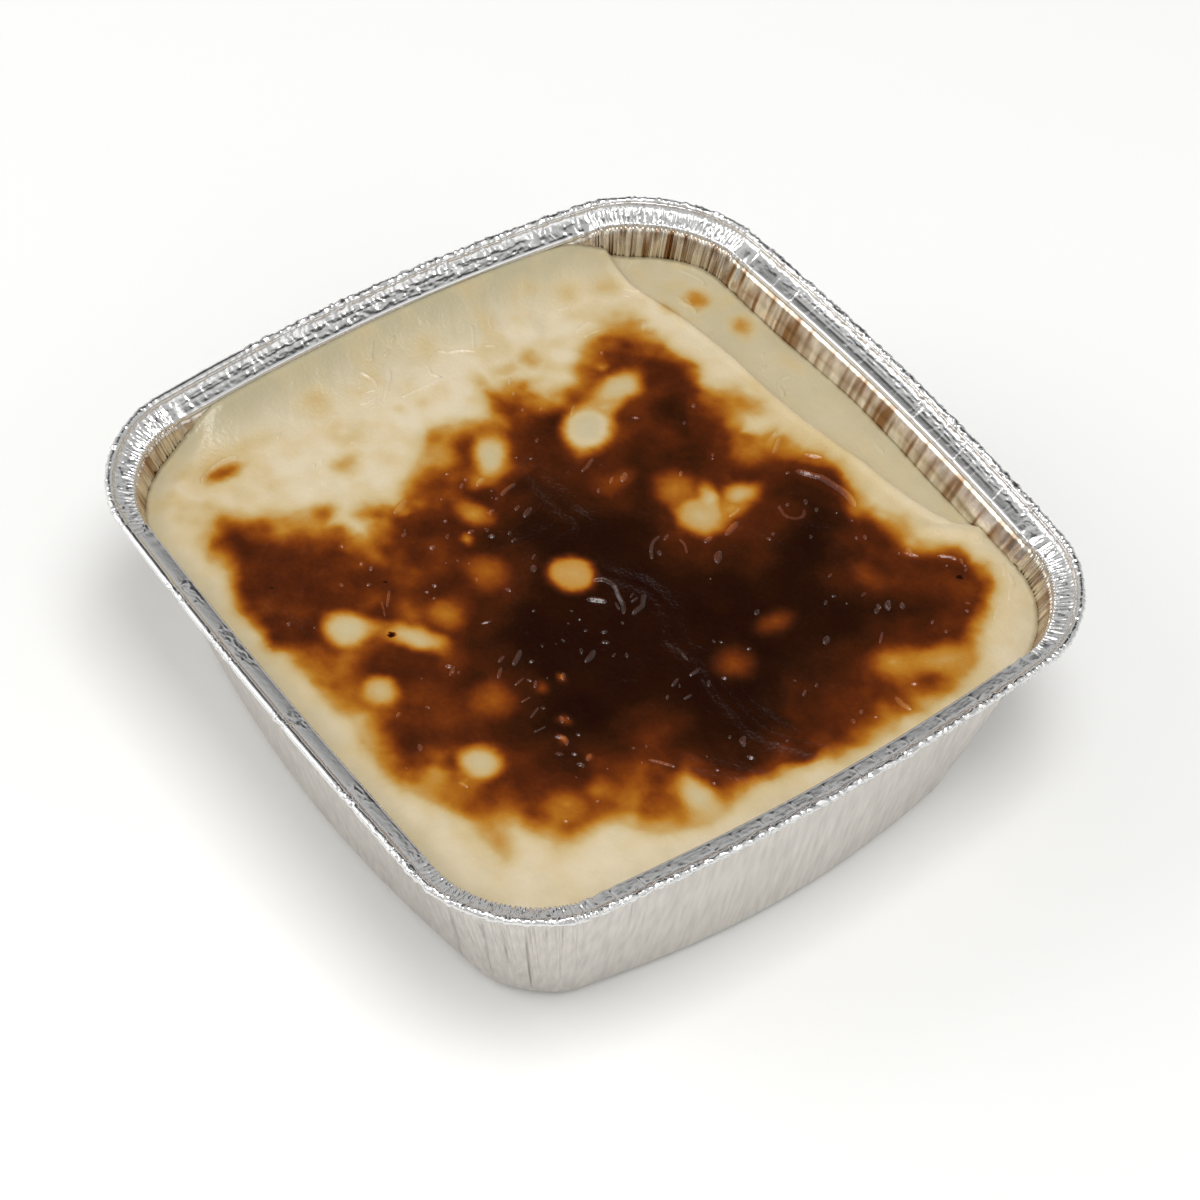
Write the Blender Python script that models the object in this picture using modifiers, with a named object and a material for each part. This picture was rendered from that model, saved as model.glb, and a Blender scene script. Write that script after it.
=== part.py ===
"""A baked milk pudding in its square aluminium foil tray.

Two pieces: the foil tray, a thin lofted shell with pleated corners and a rolled rim, and the
pudding that fills it, whose browned milk skin lies in folds and climbs one wall. Metres, +Z up.
The origin is under the middle of the rim's outline, on the surface that the tray stands on.
"""

import bpy
import numpy as np

# Outline of the rim from above, along the outside of its bead. Corners and sides are counted
# anticlockwise: corners from (+X, +Y), sides from +X.
RIM_HALF_X = 0.0650
RIM_HALF_Y = 0.06825
RIM_RADII = (0.0197, 0.0216, 0.0204, 0.0212)
RIM_BOWS = (0.0046, 0.0035, 0.0055, 0.0016)

# Outline of the foot, where the walls would meet the base without their rounded edge
FOOT_HALF_X = 0.0518
FOOT_HALF_Y = 0.0510
FOOT_RADII = (0.0150, 0.0117, 0.0117, 0.0105)
FOOT_BOWS = (0.0068, 0.0060, 0.0060, 0.0057)
FOOT_SHIFT = (0.0009, 0.0011)
FOOT_ROUND = 0.0026
FOOT_STEPS = (0.0, 0.35, 0.7, 1.0)

# Height of the walls, and the rim's section, measured inwards from the rim's outline
FOIL = 0.0003
WALL_TOP = 0.0405
WALL_STEPS = (0.4, 0.7, 0.87, 1.0)
WALL_INSET = 0.0056
BEND_INSET = 0.0050
BEND_TOP = 0.0411
BEAD_RADIUS = 0.00105
BEAD_HEIGHT = 0.04265
BEAD_START = -20.0
BEAD_END = 255.0
BEAD_STEPS = 6

# Pleats stand out of the walls at the corners, grow from foot to rim and dip the rim's section
PLEAT_DEPTH = 0.00045
RIM_PLEAT_DROP = 0.0002
SIDE_STEPS = 8
CORNER_STEPS = 16
SIDE_SHARE = 0.5
PLACE_STEP = 1e-4

# The pudding keeps FILL_GAP from the middle of the foil. Its foot's section is given as insets
# from the wall and heights, and its skin is a square grid of FILL_STEPS on each side of the
# middle, whose edge runs along a side of the tray for CORNER_REACH of its length.
FILL_GAP = 0.00080
FILL_FOOT = ((0.00080, 0.0036), (0.0017, 0.0017), (0.0036, 0.0008))
FILL_LEVEL = 0.0357
FILL_SIDE_STEPS = (0.3, 0.65)
FILL_STEPS = 19
CORNER_REACH = 0.79

# The skin climbs the -X wall and part of the corner beside it
CLIMB_HEIGHT = 0.0046
CLIMB_WIDTH = 0.0125
CLIMB_SIDE_Y = (-0.0520, 0.0520)
CLIMB_FADE = 0.0150

# Folds of the skin, as seen from above: each runs through a few points
STEP_FOLD = ((-0.0650, 0.0480), (-0.0505, 0.0451), (-0.0255, 0.0514), (0.0120, 0.0545),
             (0.0300, 0.0600), (0.0330, 0.0660))
STEP_FOLD_DROP = 0.0009
CENTRE_FOLD = ((-0.0245, 0.0026), (-0.0130, 0.0014), (0.0045, 0.0001), (0.0170, 0.0031),
               (0.0370, 0.0014), (0.0470, 0.0007), (0.0601, 0.0064))
CORNER_FOLD = ((-0.0655, -0.0340), (-0.0600, -0.0445), (-0.0550, -0.0510))
FOLD_HEIGHT = 0.0008
FOLD_WIDTH = 0.0016
SWELL_HEIGHT = 0.00028
SWELL_LENGTH = 0.021


def outline(places, half_x, half_y, radii, bows):
    """Points of a rounded rectangle with bowed sides.

    A place counts sides anticlockwise from +X: its first half runs along a side and its second
    half round the corner after it. A bow pushes a side out along half a cosine wave.
    """
    side = np.floor(places).astype(int) % 4
    along = places - np.floor(places)
    radius = np.array(radii)
    corners = np.stack([
        np.array([1, -1, -1, 1]) * (half_x - radius),
        np.array([1, 1, -1, -1]) * (half_y - radius),
    ], axis=1)
    straight_turn = side * np.pi / 2
    corner_turn = straight_turn + np.pi / 2 * np.clip((along - SIDE_SHARE) / (1 - SIDE_SHARE), 0, 1)
    outward = np.stack([np.cos(straight_turn), np.sin(straight_turn)], axis=1)
    round_it = np.stack([np.cos(corner_turn), np.sin(corner_turn)], axis=1)
    before = (side - 1) % 4
    start = corners[before] + radius[before, None] * outward
    end = corners[side] + radius[side, None] * outward
    on_side = start + (end - start) * np.clip(along / SIDE_SHARE, 0, 1)[:, None]
    on_corner = corners[side] + radius[side, None] * round_it
    points = np.where((along < SIDE_SHARE)[:, None], on_side, on_corner)
    u = points[:, 0] / half_x
    v = points[:, 1] / half_y
    bow_x = np.where(u > 0, bows[0], -bows[2]) * np.cos(np.pi / 2 * np.clip(v, -1, 1)) * u ** 4
    bow_y = np.where(v > 0, bows[1], -bows[3]) * np.cos(np.pi / 2 * np.clip(u, -1, 1)) * v ** 4
    return points + np.stack([bow_x, bow_y], axis=1)


def square_to(curve, places):
    """Unit vectors square to a closed anticlockwise curve at each place, pointing into it."""
    tangent = curve(places + PLACE_STEP) - curve(places - PLACE_STEP)
    tangent /= np.linalg.norm(tangent, axis=1, keepdims=True)
    return np.stack([-tangent[:, 1], tangent[:, 0]], axis=1)


def rim_outline(places):
    points = outline(places, RIM_HALF_X, RIM_HALF_Y, RIM_RADII, RIM_BOWS)
    return points - rim_middle()


def rim_inwards(places):
    """Unit vectors that point from the rim's outline into the tray, for places in any order."""
    return square_to(rim_outline, places)


def rim_middle():
    """Middle of the rim's outline, which its unequal bows move off the sides' middle."""
    return np.array([RIM_BOWS[0] - RIM_BOWS[2], RIM_BOWS[1] - RIM_BOWS[3]]) / 2


def foot_outline(places):
    points = outline(places, FOOT_HALF_X, FOOT_HALF_Y, FOOT_RADII, FOOT_BOWS)
    return points + np.array(FOOT_SHIFT) - rim_middle()


def wall_outline(places, height):
    """The wall at a height, or at one height for each place: straight lines from foot to rim."""
    top = rim_outline(places) + rim_inwards(places) * WALL_INSET
    share = np.broadcast_to(np.asarray(height, float) / WALL_TOP, len(places))[:, None]
    return foot_outline(places) * (1 - share) + top * share


def wall_inwards(places, height):
    """Unit vectors that point from the wall into the tray, for places in any order."""
    return square_to(lambda some: wall_outline(some, height), places)


def ring(points, height):
    return np.column_stack([points, np.broadcast_to(height, len(points))])


def tray_places():
    side = SIDE_SHARE * np.arange(SIDE_STEPS) / SIDE_STEPS
    corner = SIDE_SHARE + (1 - SIDE_SHARE) * np.arange(CORNER_STEPS) / CORNER_STEPS
    return (np.arange(4)[:, None] + np.concatenate([side, corner])).ravel()


def pleats(places):
    """1 on each crest and 0 in each groove of the corner pleats, 0 along the sides."""
    along = places - np.floor(places)
    step = np.round((along - SIDE_SHARE) / (1 - SIDE_SHARE) * CORNER_STEPS)
    return np.where(along > SIDE_SHARE, step % 2, 0.0)


def tray_rings():
    """The middle of the foil from the base's edge to the end of the rim's roll."""
    places = tray_places()
    base = FOIL / 2
    rings = []
    for step in FOOT_STEPS:
        inset = FOOT_ROUND * (1 - step) ** 2
        height = base + FOOT_ROUND * step ** 2
        wall = wall_outline(places, height)
        rings.append(ring(wall + wall_inwards(places, height) * inset, height))
    for step in WALL_STEPS:
        height = step * WALL_TOP
        wall = wall_outline(places, height)
        push = PLEAT_DEPTH * step * pleats(places)
        rings.append(ring(wall - wall_inwards(places, height) * push[:, None], height))
    rim = rim_outline(places)
    to_middle = rim_inwards(places)
    section = [(BEND_INSET, BEND_TOP)]
    for angle in np.radians(np.linspace(BEAD_START, BEAD_END, BEAD_STEPS + 1)):
        bead_inset = FOIL / 2 + BEAD_RADIUS + BEAD_RADIUS * np.cos(angle)
        section.append((bead_inset, BEAD_HEIGHT + BEAD_RADIUS * np.sin(angle)))
    for inset, height in section:
        rings.append(ring(rim + to_middle * inset, height - RIM_PLEAT_DROP * pleats(places)))
    return rings


def loft(rings, pole):
    """Vertices and faces of a tube through the rings, with a fan from the first one to a pole."""
    count = len(rings[0])
    vertices = np.concatenate([*rings, [pole]])
    here = np.arange(count)
    after = (here + 1) % count
    faces = []
    for row in range(len(rings) - 1):
        low = row * count
        high = low + count
        faces += np.column_stack([low + here, low + after, high + after, high + here]).tolist()
    centre = np.full(count, len(vertices) - 1)
    faces += np.column_stack([centre, after, here]).tolist()
    return vertices, faces


def distance_to_line(points, line):
    """Distance from each point to a line through several points, and the side it lies on."""
    line = np.array(line)
    start = line[:-1]
    run = line[1:] - start
    offset = points[:, None] - start
    share = np.clip((offset * run).sum(2) / (run ** 2).sum(1), 0, 1)
    apart = offset - share[..., None] * run
    distance = np.linalg.norm(apart, axis=2)
    nearest = distance.argmin(axis=1)
    rows = np.arange(len(points))
    turned = run[nearest, 0] * offset[rows, nearest, 1] - run[nearest, 1] * offset[rows, nearest, 0]
    return distance[rows, nearest], np.sign(turned)


def smooth(value):
    value = np.clip(value, 0, 1)
    return value * value * (3 - 2 * value)


def skin_height(points, to_edge):
    """Height of the milk skin: a level with slow swells, folds and a climb up the -X wall.

    A fold is a bell-shaped ridge along its line, and the step fold also drops the skin on the
    far side of it. The climb grows over CLIMB_WIDTH from the edge, where the skin hangs on the
    wall, and fades out towards the corners.
    """
    x = points[:, 0]
    y = points[:, 1]
    height = np.full(len(points), FILL_LEVEL)
    height += SWELL_HEIGHT * np.sin(x / SWELL_LENGTH * 2 + 0.6) * np.cos(y / SWELL_LENGTH * 1.6)
    height += SWELL_HEIGHT * np.sin((x + 0.7 * y) / SWELL_LENGTH * 3 + 2.1)
    for line in (STEP_FOLD, CENTRE_FOLD, CORNER_FOLD):
        distance, _ = distance_to_line(points, line)
        height += FOLD_HEIGHT * np.exp(-(distance / FOLD_WIDTH) ** 2)
    distance, beyond = distance_to_line(points, STEP_FOLD)
    height -= STEP_FOLD_DROP * smooth(distance * beyond / FOLD_WIDTH) * (y > 0.030)
    along = smooth((y - CLIMB_SIDE_Y[0]) / CLIMB_FADE) * smooth((CLIMB_SIDE_Y[1] - y) / CLIMB_FADE)
    near_wall = np.clip(1 - to_edge / CLIMB_WIDTH, 0, 1) ** 2
    height += CLIMB_HEIGHT * along * near_wall * (x < 0)
    return height


def grid_places(across, up):
    """Places on the wall for square coordinates from -1 to 1, whose diagonals lie mid-corner."""
    reach = np.maximum(np.maximum(np.abs(across), np.abs(up)), 1e-9)
    on_x = np.abs(across) >= np.abs(up)
    side = np.where(on_x, np.where(across > 0, 0, 2), np.where(up > 0, 1, 3))
    sign = np.where(on_x, np.sign(across), -np.sign(up))
    step = np.where(on_x, up, across) * sign / reach
    knots = [-1, -CORNER_REACH, CORNER_REACH, 1]
    values = [SIDE_SHARE / 2 - SIDE_SHARE, 0, SIDE_SHARE, SIDE_SHARE * 1.5]
    return side + np.interp(step, knots, values)


def skin_grid():
    """The skin's points on a square grid that is drawn out to the wall, row by row.

    A point lies on the line from the middle to its place on the wall, at the share of that line
    which the larger of its two square coordinates gives. The edge hangs where the skin's height
    meets the slanting wall.
    """
    lines = np.linspace(-1, 1, 2 * FILL_STEPS + 1)
    across, up = [axis.ravel() for axis in np.meshgrid(lines, lines)]
    places = grid_places(across, up)
    nominal = wall_outline(places, FILL_LEVEL)
    nominal = nominal + wall_inwards(places, FILL_LEVEL) * FILL_GAP
    edge_height = skin_height(nominal, np.zeros(len(places)))
    edge_height = np.minimum(edge_height, WALL_TOP - FOIL / 2)
    edge = wall_outline(places, edge_height)
    edge = edge + wall_inwards(places, FILL_LEVEL) * FILL_GAP
    share = np.maximum(np.abs(across), np.abs(up))[:, None]
    middle = np.array(FOOT_SHIFT)
    points = middle + (nominal * (1 - share) + edge * share - middle) * share
    to_edge = np.linalg.norm(edge - points, axis=1)
    height = np.where(share[:, 0] < 1, skin_height(points, to_edge), edge_height)
    return ring(points, height), places


def grid_border():
    """Row-by-row numbers of the grid's border points, anticlockwise from (+X, -Y)."""
    count = 2 * FILL_STEPS + 1
    number = np.arange(count * count).reshape(count, count)
    return np.concatenate([number[:-1, -1], number[-1, :0:-1], number[:0:-1, 0], number[0, :-1]])


def pudding_mesh():
    """The skin's grid, then the sides in rings from its border down to a flat foot."""
    skin, places = skin_grid()
    count = 2 * FILL_STEPS + 1
    number = np.arange(count * count).reshape(count, count)
    corners = [number[:-1, :-1], number[:-1, 1:], number[1:, 1:], number[1:, :-1]]
    faces = np.stack(corners, axis=-1).reshape(-1, 4).tolist()
    border = grid_border()
    places = places[border]
    edge_height = skin[border, 2]
    rings = []
    for share in FILL_SIDE_STEPS:
        height = edge_height * (1 - share) + FILL_FOOT[0][1] * share
        wall = wall_outline(places, height)
        rings.append(ring(wall + wall_inwards(places, height) * FILL_GAP, height))
    for inset, height in FILL_FOOT:
        wall = wall_outline(places, height)
        rings.append(ring(wall + wall_inwards(places, height) * inset, height))
    vertices = np.concatenate([skin, *rings, [[*FOOT_SHIFT, FILL_FOOT[-1][1]]]])
    loops = [border]
    for row in range(len(rings)):
        loops.append(len(skin) + row * len(border) + np.arange(len(border)))
    for high, low in zip(loops[:-1], loops[1:]):
        after = np.roll(high, -1), np.roll(low, -1)
        faces += np.column_stack([low, after[1], after[0], high]).tolist()
    pole = np.full(len(border), len(vertices) - 1)
    faces += np.column_stack([pole, np.roll(loops[-1], -1), loops[-1]]).tolist()
    return vertices, faces


def material(name, colour, roughness, metallic=0.0):
    made = bpy.data.materials.new(name)
    made.use_nodes = True
    shader = made.node_tree.nodes["Principled BSDF"]
    shader.inputs["Base Color"].default_value = (*colour, 1.0)
    shader.inputs["Roughness"].default_value = roughness
    shader.inputs["Metallic"].default_value = metallic
    return made


def add_object(name, vertices, faces, finish, collection):
    mesh = bpy.data.meshes.new(name)
    mesh.from_pydata(np.asarray(vertices).tolist(), [], faces)
    mesh.validate()
    mesh.materials.append(finish)
    mesh.shade_smooth()
    mesh.set_sharp_from_angle(angle=np.radians(50))
    made = bpy.data.objects.new(name, mesh)
    collection.objects.link(made)
    return made


def make_foil_tray(collection):
    rings = tray_rings()
    pole = [*rings[0][:, :2].mean(axis=0), FOIL / 2]
    vertices, faces = loft(rings, pole)
    finish = material("aluminium foil", (0.62, 0.61, 0.59), 0.32, 1.0)
    tray = add_object("foil_tray", vertices, faces, finish, collection)
    shell = tray.modifiers.new("foil thickness", "SOLIDIFY")
    shell.thickness = FOIL
    shell.offset = 0.0
    shell.use_even_offset = True


def make_pudding(collection):
    vertices, faces = pudding_mesh()
    finish = material("browned milk skin", (0.55, 0.36, 0.14), 0.35)
    add_object("pudding", vertices, faces, finish, collection)


def main():
    for old in list(bpy.data.objects):
        bpy.data.objects.remove(old, do_unlink=True)
    collection = bpy.data.collections.new("foil_tray_meal")
    bpy.context.scene.collection.children.link(collection)
    make_foil_tray(collection)
    make_pudding(collection)


main()
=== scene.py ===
import bpy
import numpy as np
from bpy.props import FloatProperty, FloatVectorProperty, IntProperty, PointerProperty
from mathutils import Matrix


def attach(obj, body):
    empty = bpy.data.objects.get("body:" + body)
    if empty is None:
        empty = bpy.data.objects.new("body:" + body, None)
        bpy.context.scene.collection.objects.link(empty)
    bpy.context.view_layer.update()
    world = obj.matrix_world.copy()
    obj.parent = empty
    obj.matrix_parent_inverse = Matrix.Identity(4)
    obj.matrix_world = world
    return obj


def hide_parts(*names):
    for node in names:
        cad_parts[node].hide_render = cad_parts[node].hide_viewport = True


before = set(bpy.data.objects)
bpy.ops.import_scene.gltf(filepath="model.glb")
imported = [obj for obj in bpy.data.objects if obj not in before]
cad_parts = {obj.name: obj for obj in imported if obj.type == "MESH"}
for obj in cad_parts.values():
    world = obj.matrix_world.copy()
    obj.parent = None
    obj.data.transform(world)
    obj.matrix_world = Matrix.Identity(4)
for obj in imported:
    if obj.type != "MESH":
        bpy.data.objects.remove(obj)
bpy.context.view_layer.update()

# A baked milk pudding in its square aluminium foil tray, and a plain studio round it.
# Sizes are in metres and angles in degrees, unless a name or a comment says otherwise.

bl_info = {
    "name": "Foil tray meal",
    "version": (1, 0, 0),
    "blender": (4, 5, 0),
    "location": "3D View > Sidebar > Foil tray meal",
    "description": "Builds a baked milk pudding in its foil tray, and the studio round it",
    "category": "Add Mesh",
}

MM = 0.001

# Outline of the rim from above, along the outside of its bead. Corners and sides are counted
# anticlockwise: corners from (+X, +Y), sides from +X.
RIM_HALF_X = 0.0650
RIM_HALF_Y = 0.06825
RIM_RADII = (0.0197, 0.0216, 0.0204, 0.0212)
RIM_BOWS = (0.0046, 0.0035, 0.0055, 0.0016)

# Outline of the foot, where the walls would meet the base without their rounded edge, how far
# its middle lies off the rim's, and the size of that edge
FOOT_HALF_X = 0.0518
FOOT_HALF_Y = 0.0510
FOOT_RADII = (0.0150, 0.0117, 0.0117, 0.0105)
FOOT_BOWS = (0.0068, 0.0060, 0.0060, 0.0057)
FOOT_SHIFT = (0.0009, 0.0011)
FOOT_ROUND = 0.0026
# Share of a side's and its corner's places that lies on the side, and a step for tangents
SIDE_SHARE = 0.5
PLACE_STEP = 1e-4
# Fine places, for lengths along the rim, and half the step between them
FINE_COUNT = 4001
FINE_HALF = 0.0005
# How far before a corner the stations get closer, over how much, and how far behind it
DENSE_LEAD = 0.12
DENSE_RAMP = 0.1
DENSE_AFTER = 0.05
# Rows of a table of random values
NOISE_ROWS = 64

# The walls' rings, as shares of the way from the middle out to the foot, round the foot's
# edge, and from there up to WALL_JOIN
BASE_SHARES = (0.25, 0.5, 0.75, 0.92)
FOOT_STEPS = (0.0, 0.3, 0.6, 0.85, 1.0)
WALL_SHARES = (0.12, 0.26, 0.40, 0.54, 0.68, 0.79, 0.85, 0.89, 0.92, 0.95, 0.975, 1.0)
# The wall's top and its inset from the rim's outline, the height where the walls end and the
# rim starts, the rim's first rings, and the middle of the foil over the ledge as insets and
# heights. The bead then rolls outwards and under.
WALL_TOP = 0.0405
WALL_INSET = 0.0056
WALL_JOIN = 0.0400
WALL_RINGS = (0.0400, 0.04018, 0.04034)
LEDGE = (
    (0.00560, 0.0405), (0.00556, 0.04064), (0.00547, 0.04077), (0.00532, 0.04087), (0.00512, 0.04094),
    (0.0048, 0.04103), (0.0039, 0.04130), (0.0031, 0.04157), (0.0026, 0.04178), (0.00222, 0.04206),
    (0.00198, 0.04240), (0.00182, 0.04284),
)
LEDGE_STEP = 0.00018
BEAD_RADIUS = 0.00072
BEAD_INSET = 0.00110
BEAD_HEIGHT = 0.04276
BEAD_START = 3.0
BEAD_END = 255.0

# How much the ledge and the bead are crumpled, by place round the rim, and how far the
# crumples keep to the ledge's outer part, 0 to 1
LEDGE_CRUMPLE = (
    (0.0, 0.55), (0.45, 0.55), (0.52, 0.5), (1.0, 0.45), (1.04, 0.8), (1.2, 0.85), (1.45, 0.8),
    (1.5, 0.45), (1.7, 0.5), (2.0, 0.6), (2.1, 1.0), (2.35, 1.0), (2.42, 0.4), (2.5, 0.25),
    (2.55, 0.42), (2.97, 0.5), (3.0, 0.6), (3.02, 0.05), (3.08, 0.05), (3.09, 0.6), (3.115, 0.6),
    (3.125, 0.05), (3.15, 0.05), (3.16, 0.6), (3.205, 0.5), (3.215, 0.05), (3.27, 0.05), (3.28, 0.6),
    (3.295, 0.6), (3.305, 0.05), (3.375, 0.05), (3.385, 0.6), (3.405, 0.6), (3.42, 0.1), (3.45, 0.3),
    (3.5, 0.5), (3.75, 0.9), (3.97, 0.6), (4.0, 0.30),
)
BEAD_CRUMPLE = (
    (0.0, 1.25), (0.4, 1.2), (0.5, 1.0), (0.6, 0.8), (1.0, 0.9), (1.05, 1.1), (2.0, 1.1), (2.38, 1.2),
    (2.41, 0.15), (2.5, 0.15), (2.53, 0.8), (2.99, 0.9), (3.02, 0.10), (3.08, 0.1), (3.09, 1.0),
    (3.115, 1.0), (3.125, 0.1), (3.15, 0.1), (3.16, 1.0), (3.205, 0.8), (3.215, 0.1), (3.27, 0.1),
    (3.28, 1.0), (3.295, 1.0), (3.305, 0.15), (3.375, 0.15), (3.385, 1.0), (3.405, 1.0), (3.42, 0.3),
    (3.45, 0.8), (3.5, 1.1), (4.0, 1.25),
)
OUTER_CRUMPLE = (
    (0.0, 0.7), (0.45, 0.7), (0.55, 0.0), (1.0, 0.0), (1.05, 0.95), (1.45, 0.95), (1.5, 0.1),
    (2.0, 0.1), (2.1, 0.3), (2.4, 0.4), (2.5, 0.2), (2.6, 0.0), (3.9, 0.0), (4.0, 0.7),
)
# Two layers of crumples as size and amount, what their ridges are multiplied by and lowered
# by, how far slower noise bends them, and by place how much longer they are across the rim
CRUMPLES = ((0.0011, 0.000085), (0.00055, 0.000052))
CRUMPLE_RIDGE = (2.2, 1.2)
CRUMPLE_BEND = 0.5
CRUMPLE_STRETCH = (
    (0.45, 1.0), (0.55, 2.6), (0.95, 2.6), (1.05, 1.0), (1.45, 1.0), (1.55, 2.6), (1.95, 2.4),
    (2.1, 1.0), (2.45, 1.2), (2.55, 2.6), (2.95, 2.6), (3.05, 1.0), (3.48, 1.2), (3.55, 2.0),
    (3.95, 2.0), (4.0, 1.0),
)
BEAD_CRUMPLE_GAIN = 1.7
# Where along the section, in millimetres, the bead's, the outer part's and the ledge's
# crumples start, and over how much they come in
BEAD_REACH = (4.6, 0.7)
OUTER_REACH = (2.0, 0.8)
LEDGE_REACH = (0.5, 0.5)
# Share of the corner pleats that is left, by the reach along the section in millimetres
PLEAT_SPREAD = ((0.0, 0.6, 1.2, 3.6, 4.4), (1, 1, 0.6, 0.22, 0))
# Creases across the rim: place, amount outwards, half width, where along the section they
# start and end, and lean, all in millimetres but the place
RIM_CREASES = (
    (0.120, -0.16, 0.16, 0.9, 3.6, 0.3), (0.143, -0.12, 0.14, 0.9, 2.6, 0.1),
    (0.173, -0.16, 0.16, 0.9, 3.8, 0.4), (0.188, -0.12, 0.14, 0.9, 3.0, -0.2),
    (0.208, -0.18, 0.16, 0.8, 4.0, 0.2), (0.228, -0.14, 0.14, 0.9, 3.2, 0.5),
    (0.245, -0.18, 0.18, 0.8, 4.2, 0.2), (0.278, -0.18, 0.18, 0.8, 4.0, 0.3),
    (0.300, -0.16, 0.16, 0.8, 3.8, 0.2), (0.320, -0.14, 0.16, 0.9, 3.6, 0.2),
    (0.336, -0.16, 0.16, 0.9, 4.0, 0.4), (0.078, -0.14, 0.16, 1.2, 3.6, 0.2),
    (0.049, -0.16, 0.20, 1.0, 3.8, 0.2), (0.020, -0.20, 0.24, 0.8, 4.0, 0.2),
    (0.380, -0.14, 0.16, 0.9, 3.6, 0.3), (0.420, -0.16, 0.18, 0.9, 4.0, 0.3),
    (1.078, 0.13, 0.20, 0.0, 4.6, 0.8), (1.143, 0.15, 0.20, 0.0, 4.6, 0.7),
    (1.171, 0.12, 0.18, 0.0, 4.6, 0.9), (1.210, 0.13, 0.18, 0.0, 4.4, 0.8),
    (1.412, 0.16, 0.22, 0.0, 4.0, 0.5), (1.440, 0.13, 0.20, 0.0, 4.0, 0.4),
    (1.478, 0.15, 0.20, 0.0, 4.4, 0.6), (3.003, -0.24, 0.30, 0.8, 4.4, 0.5),
    (3.010, -0.22, 0.26, 1.4, 4.4, 0.5), (3.088, -0.16, 0.22, 1.8, 4.2, 0.3),
    (3.097, -0.12, 0.16, 1.0, 3.0, 0.2), (3.114, -0.14, 0.20, 2.2, 4.2, 0.2),
    (3.155, -0.14, 0.18, 1.6, 3.8, 0.2), (3.170, -0.12, 0.16, 1.8, 3.4, 0.2),
    (3.199, -0.14, 0.22, 2.2, 4.0, 0.3), (3.279, -0.10, 0.16, 2.0, 3.8, 0.2),
    (3.292, -0.10, 0.14, 1.8, 3.4, 0.1), (3.385, -0.16, 0.24, 1.6, 4.2, 0.3),
    (3.401, -0.14, 0.20, 1.6, 4.0, 0.3), (3.481, -0.22, 0.26, 1.0, 4.4, 0.4),
    (3.492, -0.20, 0.24, 1.0, 4.2, 0.4),
)
# Runs of further creases: first and last place, spacing, greatest amount, half width, start,
# end and the share of them that stand out instead of in
CREASE_RUNS = (
    (0.00, 0.50, 4.6, 0.12, 0.14, 0.9, 3.4, 0.2), (0.50, 1.02, 1.2, 0.15, 0.20, 0.2, 4.2, 0.5),
    (1.05, 1.45, 2.3, 0.11, 0.16, 0.0, 4.4, 0.8), (1.50, 2.02, 1.1, 0.15, 0.20, 0.0, 4.4, 0.5),
    (2.02, 2.50, 2.7, 0.18, 0.24, 0.3, 2.4, 0.3), (2.02, 2.50, 1.9, 0.16, 0.22, 2.0, 4.6, 0.5),
    (2.50, 3.00, 1.1, 0.20, 0.20, 0.2, 3.0, 0.4), (2.50, 3.00, 1.4, 0.18, 0.22, 2.4, 4.8, 0.5),
    (3.48, 4.00, 1.7, 0.26, 0.30, 0.4, 4.2, 0.4),
)
# Creases along the rim: first and last place, where they lie along the section, amount and
# half width
LONG_CREASES = (
    (2.06, 2.50, 2.3, 0.05, 0.26), (2.10, 2.50, 3.3, -0.06, 0.26), (1.06, 1.44, 3.0, 0.10, 0.22),
    (1.06, 1.44, 1.9, -0.05, 0.30), (0.02, 0.46, 3.5, 0.06, 0.20), (3.03, 3.47, 4.3, 0.05, 0.20),
)

# How far the wall stands in at the pudding's level, flaring out to the rim above it, by place
WALL_FLARE = (
    (0.45, 0.0), (0.80, 0.6), (1.0, 1.05), (1.4, 1.15), (1.5, 0.95), (1.62, 0.60), (1.85, 0.50),
    (2.05, 0.8), (2.45, 0.8), (2.7, 0.5), (2.95, 0.0),
)
FLARE_START = 0.012
FLARE_LEVEL = 0.0358
FLARE_POWER = 1.15
# Brown streaks on the inside of the wall above the pudding, partly dried milk and partly painted
# reflection of the browned skin: how much by place, their upper edge and how they fade there,
# the length of the streaks, their even part and their contrast, and two layers of streaks as
# size along the wall, strength and random seed
REFLECTION_FILM = (
    (0.4, 0.0), (0.5, 0.2), (0.62, 0.8), (0.9, 1.0), (1.1, 0.8), (1.35, 0.9), (1.48, 1.1), (1.9, 1.1),
    (2.0, 0.5), (2.45, 0.3), (2.55, 0.8), (2.8, 0.7), (3.0, 0.1),
)
REFLECTION_FILM_TOP = 0.0414
REFLECTION_FILM_FADE = 0.0024
REFLECTION_FILM_LENGTH = 0.006
REFLECTION_FILM_EVEN = 0.30
REFLECTION_FILM_CONTRAST = 1.5
REFLECTION_FILM_STREAKS = ((0.0013, 0.60, 141), (0.0006, 0.40, 143))
# The corners' pleats: how many in a corner, how deep, how far they wander from an even
# spacing, their least and greatest share of the depth, where their lower ends lie as shares
# of the wall's height and over what share they grow, how they fade at a corner's ends, and
# their depth by place
PLEATS = 36
PLEAT_DEPTH = 0.00075
PLEAT_WANDER = 0.42
PLEAT_SHARES = (0.3, 1.0)
PLEAT_ENDS = (-0.25, 0.55)
PLEAT_RISE = 0.75
PLEAT_FADE = 0.14
PLEAT_SHARE = (
    (0.4, 0.8), (1.1, 0.8), (1.4, 1.0), (2.1, 1.0), (2.4, 0.8), (3.1, 0.8), (3.45, 0.6), (3.95, 0.6),
)
# Dents of the walls: their size along and up the wall and their depth, broad ones and streaks
WALL_WAVE = (0.034, 0.030, 0.00016)
WALL_STREAK = (0.0019, 0.034, 0.000050)
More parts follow.
